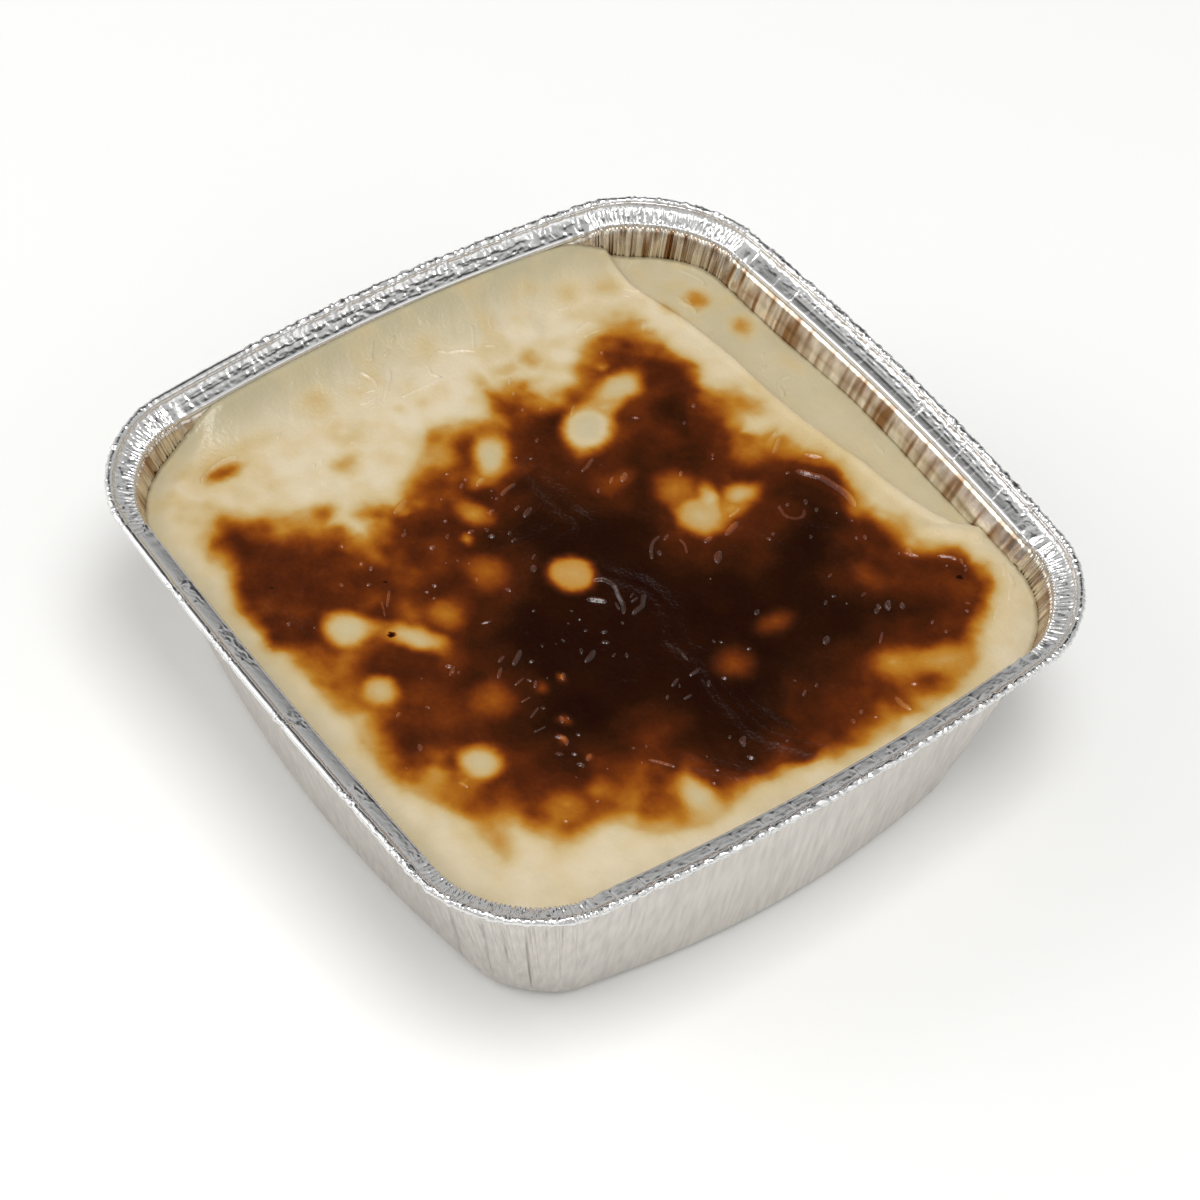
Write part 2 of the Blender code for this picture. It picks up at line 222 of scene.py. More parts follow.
# Sharp creases of the walls: place and height of the upper and lower end, depth, half width
WALL_CREASES = (
    (3.497, 0.0290, 3.478, 0.0030, -0.00051, 0.00030), (3.650, 0.0330, 3.600, 0.0025, -0.00065, 0.00032),
    (3.792, 0.0260, 3.779, 0.0020, -0.00065, 0.00030), (0.046, 0.0300, 0.084, 0.0180, -0.00051, 0.00035),
    (3.565, 0.0300, 3.545, 0.0080, -0.00032, 0.00030), (3.720, 0.0300, 3.700, 0.0060, -0.00029, 0.00026),
    (3.860, 0.0310, 3.850, 0.0080, -0.00032, 0.00028), (3.915, 0.0290, 3.905, 0.0100, -0.00029, 0.00028),
    (3.970, 0.0280, 3.985, 0.0120, -0.00026, 0.00030), (0.470, 0.0300, 0.440, 0.0080, 0.00016, 0.00060),
    (0.400, 0.0330, 0.360, 0.0100, 0.00014, 0.00060), (0.540, 0.0320, 0.520, 0.0080, 0.00016, 0.00045),
    (1.620, 0.0300, 1.600, 0.0040, -0.00043, 0.00030), (1.830, 0.0290, 1.850, 0.0040, -0.00043, 0.00030),
    (2.560, 0.0300, 2.540, 0.0060, -0.00043, 0.00030), (2.800, 0.0300, 2.790, 0.0040, -0.00043, 0.00030),
    (0.720, 0.0300, 0.700, 0.0040, -0.00043, 0.00030), (0.880, 0.0300, 0.900, 0.0080, -0.00036, 0.00030),
    (2.210, 0.0310, 2.240, 0.0160, -0.00029, 0.00040), (1.260, 0.0310, 1.230, 0.0140, -0.00029, 0.00040),
)

# The pudding's foot as insets from the wall and heights, its level, where its hidden side has
# rings, and how far along a side of the tray an edge of its square grid runs
FILL_FOOT = ((0.00080, 0.0036), (0.0017, 0.0017), (0.0036, 0.0008))
FILL_LEVEL = 0.0357
FILL_SIDE_STEPS = (0.12, 0.4, 0.7)
CORNER_REACH = 0.79
# How far the skin inside its edge and the hidden side stand clear of the wall, how far the
# edge stays below the wall's top, how far it runs into the wall, and the share of the corner
# pleats' depth that it leaves open
SKIN_STAND = 0.0004
SIDE_STAND = 0.0012
EDGE_BELOW = 0.0003
WALL_TOUCH = 0.00001
EDGE_SLACK = 0.8
# The skin's climb up the -X wall: height, width, stretch of the wall and fade at its ends
CLIMB_HEIGHT = 0.0046
CLIMB_WIDTH = 0.0125
CLIMB_SIDE_Y = (-0.0520, 0.0520)
CLIMB_FADE = 0.0150
# The skin's step down along the +Y wall: its line, drop and width
STEP_FOLD = (
    (-0.0650, 0.0478), (-0.0566, 0.0456), (-0.0506, 0.0453), (-0.0446, 0.0463), (-0.0396, 0.0475),
    (-0.0346, 0.0484), (-0.0246, 0.0499), (-0.0146, 0.0504), (-0.0076, 0.0509), (-0.0016, 0.0517),
    (0.0044, 0.0528), (0.0084, 0.0539), (0.0154, 0.0549), (0.0204, 0.0559), (0.0254, 0.0571),
    (0.0294, 0.0589), (0.0322, 0.0620), (0.0332, 0.0656),
)
STEP_FOLD_DROP = 0.0010
STEP_FOLD_WIDTH = 0.0014
# Slow swells of the skin, and its two layers of fine relief as size and amount
SWELL_HEIGHT = 0.00028
SWELL_LENGTH = 0.021
SKIN_RELIEF = ((0.0070, 0.00012), (0.0028, 0.00007))
# Streaks in the veil: size across and along, turn and amount
VEIL_STREAK = (0.0012, 0.0080, -32.0, 0.00005)

# The browning is laid out in millimetres from this point of the skin. Closed lines along which
# the skin is amber, red-brown and dark.
MAP_MIDDLE = (0.00045, -0.00095)
AMBER_LINES = ((
    (-43.5, 38), (-43, 41.5), (-41.5, 42.7), (-40, 41.2), (-38.5, 42.6), (-33, 42), (-27, 44.5),
    (-23, 42.4), (-20.5, 43.6), (-18, 46.8), (-13.5, 48.6), (-11, 47.5), (-12.3, 44.5),
    (-9.5, 41.2), (-7, 43.5), (-6.5, 46.5), (-5.4, 45.3), (-4.5, 47.2), (0, 47.5), (2.5, 50.3),
    (6, 51), (10, 50), (17, 50), (22.5, 52.5), (28, 51.4), (30.5, 53), (33.5, 57), (37.5, 56.5),
    (39.5, 58.4), (43.5, 56.5), (47.5, 52), (52, 46.5), (55, 42.6), (56.6, 40), (58.4, 35),
    (58.6, 30.5), (59.2, 27), (57.8, 23.6), (59.3, 20), (59.5, 15), (58.6, 11), (59.8, 8.4),
    (57.6, 6), (56.8, 2), (57, -4), (56, -7.5), (57, -12), (58.2, -18), (56.5, -22.5), (55, -26),
    (52, -29), (48.5, -32), (47.8, -35), (49, -38.5), (47.5, -41.5), (43, -43.5), (40.5, -45.5),
    (41, -47.8), (44.5, -49.5), (45.6, -51), (42, -51.3), (36, -51.5), (31.5, -53), (29.5, -54.5),
    (25, -56), (20.5, -57.4), (15.5, -56.6), (12.5, -56.5), (8, -55.3), (4, -56.5), (0, -56.3),
    (-6, -56.9), (-10, -56.8), (-13, -58.5), (-17, -58.7), (-22, -58.9), (-26, -57.8),
    (-31, -56.2), (-35, -56.5), (-38, -54.5), (-42, -51), (-42.6, -49), (-40.5, -45.5), (-37, -41),
    (-36, -36.5), (-34.5, -32), (-33, -32.2), (-30.5, -35), (-29, -33), (-26, -32.5),
    (-25, -30.5), (-27, -29), (-30, -29.5), (-30.7, -26.5), (-28.3, -22), (-29, -20), (-32, -18),
    (-33.8, -14), (-36.5, -10), (-40, -7), (-38.7, -3), (-37.8, 1), (-37.2, 4), (-39.5, 6.2),
    (-42.3, 7.5), (-41.5, 10), (-42.2, 13.5), (-41, 15), (-38.8, 14.2), (-35.2, 16.5), (-36, 20),
    (-35.8, 23.3), (-39, 25), (-41.5, 28), (-42.6, 31), (-43, 35),
),)
RED_LINES = ((
    (-36.8, 33.7), (-31, 37.8), (-27.5, 40), (-25, 39.3), (-21.5, 39.9), (-19.3, 37),
    (-14.5, 35.3), (-9.8, 37.2), (-5.5, 34.3), (-2.5, 31), (-1.5, 29), (0, 34), (-0.5, 37),
    (-0.3, 41), (1, 43.8), (3, 45.5), (6, 48.2), (9, 48), (15, 45.4), (20, 44.7), (25, 45),
    (30, 47), (33.5, 50), (37, 53), (42, 54.3), (45, 51.5), (47.5, 46.5), (49, 44), (47.6, 41),
    (48, 38), (46, 34.5), (44.5, 31), (45.2, 28), (47.5, 25.6), (50, 25.7), (51.5, 22),
    (54, 19.5), (54.6, 14), (55.9, 6), (54.3, 0), (54.4, -5), (52, -9), (46.5, -12), (44, -14.5),
    (41, -16.5), (39.8, -20), (38.5, -28), (39.2, -31), (37, -34.5), (36.6, -40), (34, -39.9),
    (30, -38.2), (27, -38.2), (22, -40.2), (20.7, -42), (21, -45), (18, -48), (15.5, -49.2),
    (12.5, -48.5), (10.5, -45.8), (7, -43.5), (3, -43.3), (0.5, -42.5), (1.5, -39.5), (5, -34),
    (4, -32), (0, -29), (-3, -25), (-7.5, -27.3), (-12, -25.5), (-18, -26.5), (-19.5, -24.3),
    (-25.3, -24.2), (-25, -19.5), (-23.5, -17), (-18, -13.5), (-16.7, -11), (-17.5, -9),
    (-20.5, -8), (-21.5, -5.5), (-20.3, -4.5), (-23, -1), (-23.3, 3), (-29, 3.8), (-33.8, 7.5),
    (-33.8, 11), (-31.8, 12), (-30, 14.5), (-28, 12.8), (-22, 10.2), (-18, 10.8), (-17.6, 14.5),
    (-18.2, 19), (-21.5, 22.5), (-23, 24.8), (-22, 26.5), (-24, 28.5), (-26.5, 33), (-29, 34.5),
    (-31.5, 34.6), (-35, 32),
), (
    (-21, -35.2), (-17.8, -38), (-13, -38.5), (-13.8, -42), (-14.5, -46.5), (-11.5, -51),
    (-11.5, -54), (-14, -56.4), (-17, -55.5), (-22, -55.7), (-27, -54.5), (-31, -52.3),
    (-34.5, -49), (-32.5, -46.3), (-28, -43.8), (-25.6, -40), (-25, -37),
))
DARK_LINES = ((
    (-14.5, 19), (-16, 23), (-13, 22.7), (-10.5, 22), (-9.5, 20), (-4, 17), (0, 16.5), (5, 15),
    (7.5, 15.2), (10, 18), (10.3, 21), (10.5, 24), (16, 25.5), (13, 28.5), (9.2, 33), (8.8, 37),
    (6, 37), (4.4, 41), (7, 43.5), (12.5, 45.8), (16, 44.7), (21, 42.3), (25.5, 41.5), (26, 38),
    (28.3, 35.3), (32, 36.5), (35, 39.5), (42.5, 45.8), (44.7, 39), (43.4, 36.5), (41.5, 32.5),
    (43, 29), (43.5, 25), (42.3, 20.5), (44.3, 17), (44.5, 13), (47, 10.5), (51.5, 10.7),
    (53, 5.5), (51, 3), (52, 0), (52.8, -6.5), (50, -9), (45, -11.5), (41, -13), (38, -11),
    (35, -12), (34, -15), (36.5, -18), (37, -21), (36, -26), (36.5, -30.5), (34.5, -33.3),
    (31, -33.5), (28, -35.5), (23.5, -37.4), (22, -36), (23, -33.5), (21, -31), (18, -29.5),
    (10.5, -27.5), (12, -32), (11.5, -34.5), (9.5, -34), (8, -31), (2, -28), (0, -24),
    (-2.5, -22), (-1.5, -20), (-2, -17), (-3.2, -14), (-5, -12.5), (-9, -13.5), (-11.5, -15),
    (-14, -13.5), (-15, -10.5), (-19.5, -4), (-22, 1), (-22.3, 5), (-15, 6.6), (-12, 7),
    (-10, 9.5), (-8.2, 11), (-9, 15), (-12, 17.5),
), (
    (-23.5, 36), (-22, 37.4), (-19, 35), (-16, 33), (-13.8, 32), (-15, 30), (-19, 29.5),
    (-23, 29.8),
), (
    (-12, 29), (-10, 32.5), (-7.5, 32), (-7, 28), (-10, 25.8), (-11.5, 25.5),
))

# Pale windows in the brown: x, y, half length, half width, turn, browning at the middle and
# width of the soft edge
WINDOWS = (
    (-30.2, 28.6, 1.9, 3.0, 10, 0.16, 3.4), (-25.4, 17.9, 3.6, 2.6, -38, 0.09, 3.6),
    (-28.0, 23.6, 0.8, 1.2, 0, 0.22, 3.0), (2.4, 31.6, 1.2, 1.8, 0, 0.21, 3.2),
    (2.6, 22.6, 3.0, 3.0, -30, 0.20, 3.2), (0.2, 26.0, 1.8, 0.8, -30, 0.18, 2.4),
    (4.5, 28.2, 1.0, 1.6, 0, 0.31, 2.6), (-4.6, 22.2, 1.6, 1.6, 0, 0.38, 4.2),
    (47.6, 30.0, 0.9, 1.0, 0, 0.30, 4.0), (51.8, 37.6, 1.6, 3.6, -28, 0.29, 4.6),
    (48.8, 33.0, 0.8, 0.8, 0, 0.44, 3.0), (-29.2, -0.9, 2.8, 1.8, -35, 0.13, 3.4),
    (-25.6, -5.6, 0.8, 1.2, 0, 0.36, 2.4), (1.8, -5.2, 3.0, 3.0, -30, 0.26, 2.6),
    (-19.8, -11.3, 1.4, 1.0, 20, 0.31, 3.4), (-15.3, -15.9, 0.4, 0.4, 0, 0.34, 1.6),
    (-7.0, -17.3, 2.2, 1.8, 0, 0.45, 3.6), (-3.2, -28.5, 1.4, 1.4, 0, 0.39, 3.0),
    (-1.4, -36.0, 2.8, 1.2, 38, 0.18, 3.2), (-7.0, -41.0, 1.6, 1.0, 50, 0.37, 2.6),
    (-9.1, -45.3, 2.2, 2.4, -30, 0.14, 3.0), (4.8, -48.0, 1.9, 2.0, 0, 0.20, 2.4),
    (27.0, -42.7, 2.3, 2.3, 30, 0.14, 2.8), (29.0, -46.6, 0.8, 1.4, 20, 0.37, 3.0),
    (52.6, -16.4, 2.4, 1.3, 0, 0.15, 3.8), (16.8, -33.0, 2.2, 2.0, 0, 0.47, 3.4),
    (41.6, -35.4, 1.2, 1.2, 0, 0.37, 3.0), (29.6, 18.2, 0.9, 1.6, 0, 0.55, 3.4),
    (32.8, 6.3, 1.4, 1.4, 0, 0.54, 4.2), (29.8, 38.6, 1.4, 1.0, 0, 0.54, 3.4),
    (-11.8, 14.2, 1.0, 2.0, 0, 0.55, 2.6), (-36.3, 29.2, 0.3, 0.3, 0, 0.32, 1.6),
    (19.5, -20.3, 0.5, 0.35, -10, 0.45, 1.2), (19.0, -24.4, 0.6, 0.6, 0, 0.55, 1.6),
    (27.0, -25.8, 0.4, 0.4, 0, 0.51, 1.6), (30.6, -28.3, 0.35, 0.3, 0, 0.46, 1.4),
    (35.8, -26.7, 0.25, 0.3, 0, 0.49, 1.2),
)
# Yellow and amber spots on the cream: x, y, half length, half width, turn, browning at the middle
SPOTS = (
    (-41.6, 55.6, 3.2, 2.8, 0, 0.30), (-42.0, 49.0, 3.6, 1.8, 10, 0.24),
    (-31.4, 58.6, 3.2, 2.8, -20, 0.27), (-19.5, 60.5, 4.0, 2.0, 0, 0.10),
    (-52.8, 42.0, 3.0, 4.0, -20, 0.15), (-55.0, 35.0, 3.2, 4.4, 15, 0.14),
    (-54.0, 23.0, 2.0, 2.0, 0, 0.09), (-56.8, 3.8, 3.4, 3.8, 25, 0.12),
    (-44.6, 19.4, 3.0, 3.0, 0, 0.22), (-44.6, 14.0, 2.2, 4.2, 0, 0.17),
    (-44.6, 8.0, 2.6, 2.0, 0, 0.18), (-56.4, -20.6, 3.6, 3.6, 0, 0.16),
    (-41.2, -23.8, 2.8, 3.4, 30, 0.22), (-50.9, -43.2, 1.9, 4.2, 5, 0.44),
    (-52.0, -43.5, 5.0, 7.5, 8, 0.17), (-47.2, -8.4, 1.6, 1.4, 0, 0.10),
    (-38.6, 18.0, 7.0, 7.0, 0, 0.08), (8.0, 58.0, 14.0, 3.5, 3, 0.07),
    (26.0, 62.0, 6.0, 2.5, 0, 0.07), (-16.0, 50.0, 6.5, 2.6, 0, 0.12),
    (52.0, 50.0, 4.0, 8.0, 35, 0.08),
)
# Broad patches that are browner or paler: x, y, half length, half width, turn and amount
PATCHES = (
    (-42, 38, 5, 4, 0, 0.10), (-37, 31, 5, 4, 0, 0.05), (-30, 16, 9, 4.5, -10, 0.07),
    (-24, 11, 5, 3, 0, 0.04), (-26, -10, 9, 5, -15, 0.07), (-51, -45, 6, 5, 0, 0.09),
    (-35, -30, 4, 3, 0, 0.05), (-24, -37, 3, 3, 0, 0.05), (-5, -50, 5, 5, 0, 0.09),
    (18, -54, 4, 2.5, 0, 0.06), (52, 33, 5, 5, 0, 0.10), (54, 41, 4, 4, 0, 0.05),
    (36, -48, 8, 3, 0, 0.05), (42, -37, 3, 3, 0, 0.05), (48, -24, 3, 2.5, 0, 0.05),
    (4, 51, 9, 4, 0, 0.05), (28, 54, 8, 3, 0, 0.04), (-42, 12, 3, 6, 0, 0.03),
    (-18, -15, 4, 4, 0, 0.04), (0, 30, 2.5, 2.5, 0, -0.06), (-18, -30, 3, 3, 0, -0.07),
    (24, -48, 2.5, 3, 0, -0.08), (6, -8, 3, 3, 0, -0.04),
)
# Burnt specks: x, y and radius
SPECKS = ((-4.3, -39.3, 0.55), (39.2, 52.3, 0.55), (-14.5, -33.8, 0.3), (-23.8, -50.8, 0.3))

# Broad folds of the skin, in the browning's millimetres: half width, height and the points that
# each runs through
FOLDS = (
    (1.10, 0.34, (-64, 48.9), (-57, 46.7), (-51, 46.5), (-46, 47.3), (-40, 48.3), (-34, 49.2),
     (-26, 50.6), (-15, 51.2), (-8, 51.6), (-1, 52.9), (4, 53.8), (9, 54.8), (16, 55.7), (22, 56.9),
     (27, 58.3)),
    (2.00, 0.30, (-23, 3.2), (-18, 2.8), (-13, 2.5), (-10.5, 2.6), (-8, 3.3), (-6, 2.8), (-5, 1.5)),
    (1.90, 0.34, (4.5, -0.8), (5.5, 0), (7.5, 1.3), (9.5, 3), (12, 4.2), (15, 4.3), (18, 3.6),
     (20.5, 2.5), (22.5, 1.2), (24, 0.9), (27, 1.4), (29, 2.2), (32, 1.8), (34, 0.8), (37, 0.4),
     (41, 0.3), (45, 0.4), (47, 0.9), (50, 2.2), (53, 4.2), (55.5, 6.2), (57.5, 7.5), (60.5, 8.4)),
    (1.60, 0.20, (33.5, 3.7), (38, 3.1), (42, 3.1), (46, 3.7), (49, 5), (52, 6.6)),
    (1.70, 0.26, (46, -13.8), (48.5, -11.4), (51, -8.8), (53, -6.8), (55, -5.6), (57.5, -4.4)),
    (1.00, 0.32, (-62.5, -38), (-60, -41.5), (-57, -45.5), (-55, -48.5), (-53, -51.5), (-50.6, -54.4)),
    (0.90, 0.24, (-64.4, -29), (-63.2, -34), (-61, -38.6), (-58.6, -42)),
    (1.50, 0.50, (32.3, 65), (32.5, 62), (31.1, 59.5), (28.9, 57.2), (27, 54.8)),
)
# How much wider a fold is on its left than its half width, and narrower on its right
FOLD_LEAN = 1.15
# Threads and wrinkles of the skin, laid out in the same way
WRINKLES = (
    (0.59, 0.18, (33.9, 62.4), (35.4, 60.6)), (0.65, 0.18, (43, 60.2), (46, 58.6), (48.4, 56.2)),
    (0.52, 0.14, (40.8, 61.4), (43.6, 59)), (0.59, 0.16, (48, 54.6), (50.2, 51)),
    (0.45, 0.16, (-51.2, 11.5), (-52.8, 9.3), (-53.6, 7), (-54.6, 5.2), (-53.7, 3.2), (-53, 1.8),
     (-50.8, 1), (-49.4, 2), (-48.9, 0), (-49, -3), (-49.1, -6.5)),
    (0.45, 0.14, (-56.8, 14.2), (-54, 12.5), (-52.2, 11.3)), (0.45, 0.13, (-57, 18.7), (-54.2, 16.6)),
    (0.52, 0.14, (-50.6, 15.6), (-51.8, 13.6)),
    (0.59, 0.20, (-56.2, -4.8), (-53.5, -6.5), (-51.5, -8.2), (-49.8, -9.8)),
    (0.52, 0.16, (-61.5, -4.5), (-58.2, -7)), (0.52, 0.18, (-57.8, -10), (-55.5, -8.9), (-53.8, -8.9)),
    (0.39, 0.14, (-53.2, -9.4), (-53.6, -11.5), (-53.3, -13.2)),
    (0.39, 0.13, (-52, -9.8), (-51.4, -12), (-51.9, -13.8)),
    (0.39, 0.13, (-55.3, -10.5), (-54.9, -12.2)), (0.39, 0.13, (-50.2, -11), (-49.8, -13)),
    (0.72, 0.18, (-59, -2.3), (-58.1, -4.2)), (0.52, 0.14, (-60.8, 0), (-59.6, -1.6)),
    (0.52, 0.18, (-52.6, -18.3), (-51.2, -20.4), (-50.4, -22.3)),
    (0.52, 0.18, (-49.6, 57), (-47, 58.4), (-44.5, 59), (-43.2, 58.2)),
    (0.45, 0.14, (-53, 35.2), (-52.2, 33.2), (-52.4, 31)),
    (0.65, 0.20, (-47, 34.8), (-46.5, 32.6), (-46, 30.4)),
    (0.39, 0.13, (-44, 34.6), (-44.4, 32.8), (-44.2, 31)),
    (0.70, 0.24, (-44.2, 52.4), (-42, 52.2), (-39.8, 52.9), (-38.4, 52.4)),
    (0.52, 0.18, (-43, 53.4), (-41, 53.6)), (0.72, 0.23, (-41.4, 43.2), (-40.2, 42), (-39.5, 41)),
    (0.52, 0.18, (-38.9, 43), (-38.6, 41.8)),
    (0.59, 0.29, (-52.6, -39.3), (-53, -41.8), (-52.6, -44.8), (-51.2, -48)),
    (0.65, 0.14, (-45, -19.2), (-44.6, -20.6)), (0.52, 0.14, (-45.2, -26.8), (-43.6, -27.8)),
    (0.52, 0.14, (-43, -27.5), (-42, -29)), (0.52, 0.14, (-44.8, -28.6), (-43.4, -29.6)),
    (0.45, 0.13, (-54, -29.4), (-52.8, -31)), (0.45, 0.13, (-50.8, 44.8), (-49.6, 45.5), (-48, 46.8)),
    (0.39, 0.13, (-49.4, 43.6), (-48.4, 44.7)),
    (0.59, 0.20, (-16.2, 58.2), (-16.4, 56.2), (-14.8, 54.6), (-13, 53.4)),
    (0.52, 0.16, (-21.2, 56.2), (-20, 54.6)), (0.78, 0.16, (5.2, 60.2), (8.2, 60.3)),
    (0.45, 0.14, (-14.2, 56.2), (-13, 55)), (0.45, 0.13, (-24, 58), (-22.8, 56.6)),
    (0.52, 0.23, (-4.6, 46.2), (-3.4, 44.6), (-2.2, 42.8)),
    (0.52, 0.23, (1, 47.2), (2.4, 48.4), (3.6, 49.7)), (0.39, 0.18, (-6.2, 46.6), (-5.4, 45.2)),
    (0.70, 0.30, (3.4, 43.4), (5.2, 44.7), (7.4, 46.3), (10, 47), (12.8, 47.7), (16, 47.2)),
    (0.65, 0.23, (9.6, 40.6), (10.8, 39.8)), (0.39, 0.16, (12.7, 41.2), (13.3, 40.4)),
    (0.65, 0.27, (-19.5, 37.8), (-18.6, 37)), (0.45, 0.18, (-17, 33.8), (-16.3, 33.1)),
    (0.52, 0.23, (8.7, 37.6), (9.4, 36.8)),
    (0.45, 0.11, (8.4, 36.1), (9.6, 35.1), (11.4, 35.1), (12.7, 36.4), (12.8, 38), (11.6, 39.3)),
    (0.52, 0.23, (13, 31), (13.6, 30.2)), (0.45, 0.18, (17, 36.1), (17.8, 35.5)),
    (0.45, 0.20, (-22.7, 25.9), (-21.7, 27)), (0.45, 0.18, (-7.7, 26), (-6.7, 25)),
    (0.65, 0.25, (7.4, 27.2), (8.2, 25.2), (8.9, 23.3)), (0.65, 0.20, (7.7, 21.2), (8.2, 19)),
    (0.39, 0.14, (4.8, 29.7), (5.4, 28.2), (5.5, 26.6)),
    (0.78, 0.29, (11.2, 20.3), (12.2, 19), (13.4, 18)), (0.65, 0.32, (28.4, 48.9), (30.6, 48.4)),
    (0.52, 0.20, (29.2, 47.6), (31.4, 49.4)), (0.52, 0.20, (33, 52.2), (34.2, 53.6), (35.8, 54.6)),
    (0.45, 0.18, (35.6, 55.2), (37.2, 54.6)), (0.45, 0.20, (44.3, 41.9), (45, 41)),
    (0.52, 0.20, (47.3, 42.4), (48.1, 41.7)), (0.65, 0.29, (38.1, 40), (39.4, 38.9)),
    (0.65, 0.29, (36.4, 38.4), (37.2, 37.4), (38.3, 36.6)), (0.45, 0.18, (30.5, 29), (31.3, 28)),
    (0.78, 0.29, (37, 24.2), (37.6, 23.3), (38.2, 22.3)), (0.39, 0.14, (26.2, 33.6), (26.6, 32.5)),
    (0.33, 0.13, (41.4, 32.8), (43.2, 30.8)), (0.65, 0.18, (53.8, 25.4), (55.6, 25.2), (57.8, 25.8)),
    (0.65, 0.23, (-28.2, -19.8), (-27.2, -22), (-26.6, -23.6)),
    (0.65, 0.23, (-25.6, -4.8), (-24.6, -7.2)), (0.45, 0.18, (-26.5, -8.8), (-25.5, -10)),
    (0.45, 0.18, (-42.9, 13.2), (-41.4, 12)), (0.45, 0.20, (-39.8, 12), (-39.1, 11.2)),
    (0.52, 0.22, (-35.7, 11), (-35, 10.3)), (0.39, 0.14, (-34.2, 14.2), (-33.5, 13.3)),
    (0.45, 0.18, (-28.3, 9), (-27.5, 8.1)), (0.45, 0.18, (-31.2, 19.2), (-29.4, 17.3)),
    (0.49, 0.31, (5, -3.4), (5.9, -1.7), (8, -0.8), (10, -1.4), (12, -1.9), (13.8, -3.1)),
    (0.52, 0.32, (12.2, 2.9), (13, 1.8), (14, 0.9), (14.3, -0.4), (14.7, -1.9)),
    (0.33, 0.18, (12.2, 1.4), (12.4, -0.4)), (0.26, 0.13, (10.9, 1.3), (11.5, 0.1)),
    (0.65, 0.34, (10.3, -4), (9.1, -5.2), (7.9, -6.8)), (0.39, 0.20, (10.8, -2.7), (12.7, -3.2)),
    (0.39, 0.20, (2.7, 13.2), (3.3, 11.3), (4.7, 9.8), (6.3, 8.7)),
    (0.72, 0.29, (5.2, 11), (6.4, 10.4)), (0.33, 0.14, (5, 15.7), (6.6, 15.7), (8.5, 14.8)),
    (0.39, 0.13, (3.2, 14.8), (4, 13.2)), (0.78, 0.29, (-12.8, 16.8), (-11.6, 16), (-11.1, 14.9)),
    (0.39, 0.18, (-13, 14.6), (-11.8, 13)), (0.45, 0.20, (-18.6, 14.2), (-17.4, 12), (-17, 10.5)),
    (0.45, 0.20, (-12.1, 10.7), (-11.1, 9.9)), (0.65, 0.29, (-15.2, -1.8), (-14.6, -3.2), (-14, -4.4)),
    (0.45, 0.23, (-21.5, -0.8), (-21.1, -3.2), (-20.4, -4.8)),
    (0.52, 0.18, (-16.8, -3.3), (-16.2, -4.7)), (0.39, 0.20, (-10.6, -8.4), (-10.3, -9.8)),
    (0.33, 0.13, (-5.6, -7.9), (-4.8, -9.2)), (0.78, 0.29, (-3.8, -9.9), (-2.2, -10.9)),
    (0.65, 0.20, (-2.1, -17.1), (-0.8, -16.7)), (0.59, 0.25, (17.6, -12), (18.5, -13.6), (19, -15.2)),
    (0.45, 0.14, (15.9, -13.9), (17.1, -14.7)), (0.39, 0.14, (20, -9.3), (20.5, -10.3)),
    (0.39, 0.20, (20.8, -7.8), (22, -8.4)), (0.65, 0.20, (18.7, -19.4), (20.2, -20.6)),
    (0.39, 0.25, (30.8, 0.7), (30.9, -1.7)), (0.39, 0.20, (33.6, 0.5), (34.9, -0.5)),
    (0.39, 0.20, (30.3, -3.5), (31.2, -5.7)), (0.26, 0.13, (31.2, -4.1), (32.1, -4.7)),
    (0.33, 0.20, (34.5, -3.8), (34.6, -5.7)), (0.39, 0.18, (32.2, -7.2), (33, -8)),
    (0.65, 0.25, (46.6, -1.6), (47.2, -2.7), (48.3, -3.4)), (0.59, 0.29, (50.1, -4.2), (51.3, -3.3)),
    (0.45, 0.18, (45, -3.6), (45.7, -4.3)), (0.45, 0.20, (44.1, 16.1), (44.7, 15.3)),
    (0.33, 0.20, (44.1, 13.5), (45, 12.2)), (0.65, 0.25, (25.8, 17.5), (26.6, 16.1)),
    (0.52, 0.23, (52.7, 19), (53.5, 18.1)), (0.39, 0.14, (26.1, 0.1), (28.1, 0)),
    (0.45, 0.14, (45.4, -15.8), (43.4, -17.2), (41.6, -18.6)), (0.33, 0.18, (2.7, -23.2), (2.1, -25.1)),
    (0.52, 0.32, (10.8, -22.8), (11.8, -24.2), (12.9, -26)), (0.39, 0.18, (10.3, -25.9), (11, -27.7)),
    (0.45, 0.20, (12, -27.7), (13.8, -29.7)), (0.29, 0.14, (16.1, -25.9), (16.6, -28.3)),
    (0.39, 0.18, (17.6, -24.5), (19, -25.7)), (0.26, 0.13, (20.1, -27.4), (20.2, -29.5)),
    (0.29, 0.14, (22.6, -27.5), (23.8, -30.1)), (0.26, 0.13, (26.6, -28.9), (26.6, -31.5)),
    (0.52, 0.20, (-21.9, -24.2), (-21.3, -25.5)), (0.39, 0.14, (7.2, -34.1), (8.6, -36.1)),
    (0.45, 0.18, (8.5, -34), (9.1, -34.6)), (0.65, 0.20, (25.9, -25.5), (27.5, -26.3)),
    (0.59, 0.22, (29.1, -29), (30.2, -27.8), (31.7, -28.4)), (0.65, 0.20, (35.3, -25.6), (36.2, -27.3)),
    (0.45, 0.20, (10.4, -47.5), (11, -48.7)), (0.65, 0.18, (17.7, -48.9), (19.3, -49.7)),
    (0.52, 0.14, (11.7, -43.5), (12.5, -42.9)), (0.45, 0.14, (28.3, -48.3), (30.3, -47.5)),
    (0.39, 0.18, (44.1, -38.1), (44.9, -37.5)), (0.36, 0.11, (-12.6, -34), (-9.6, -36.6)),
    (0.34, 0.09, (-11.4, -36.8), (-8.2, -38.2)),
)
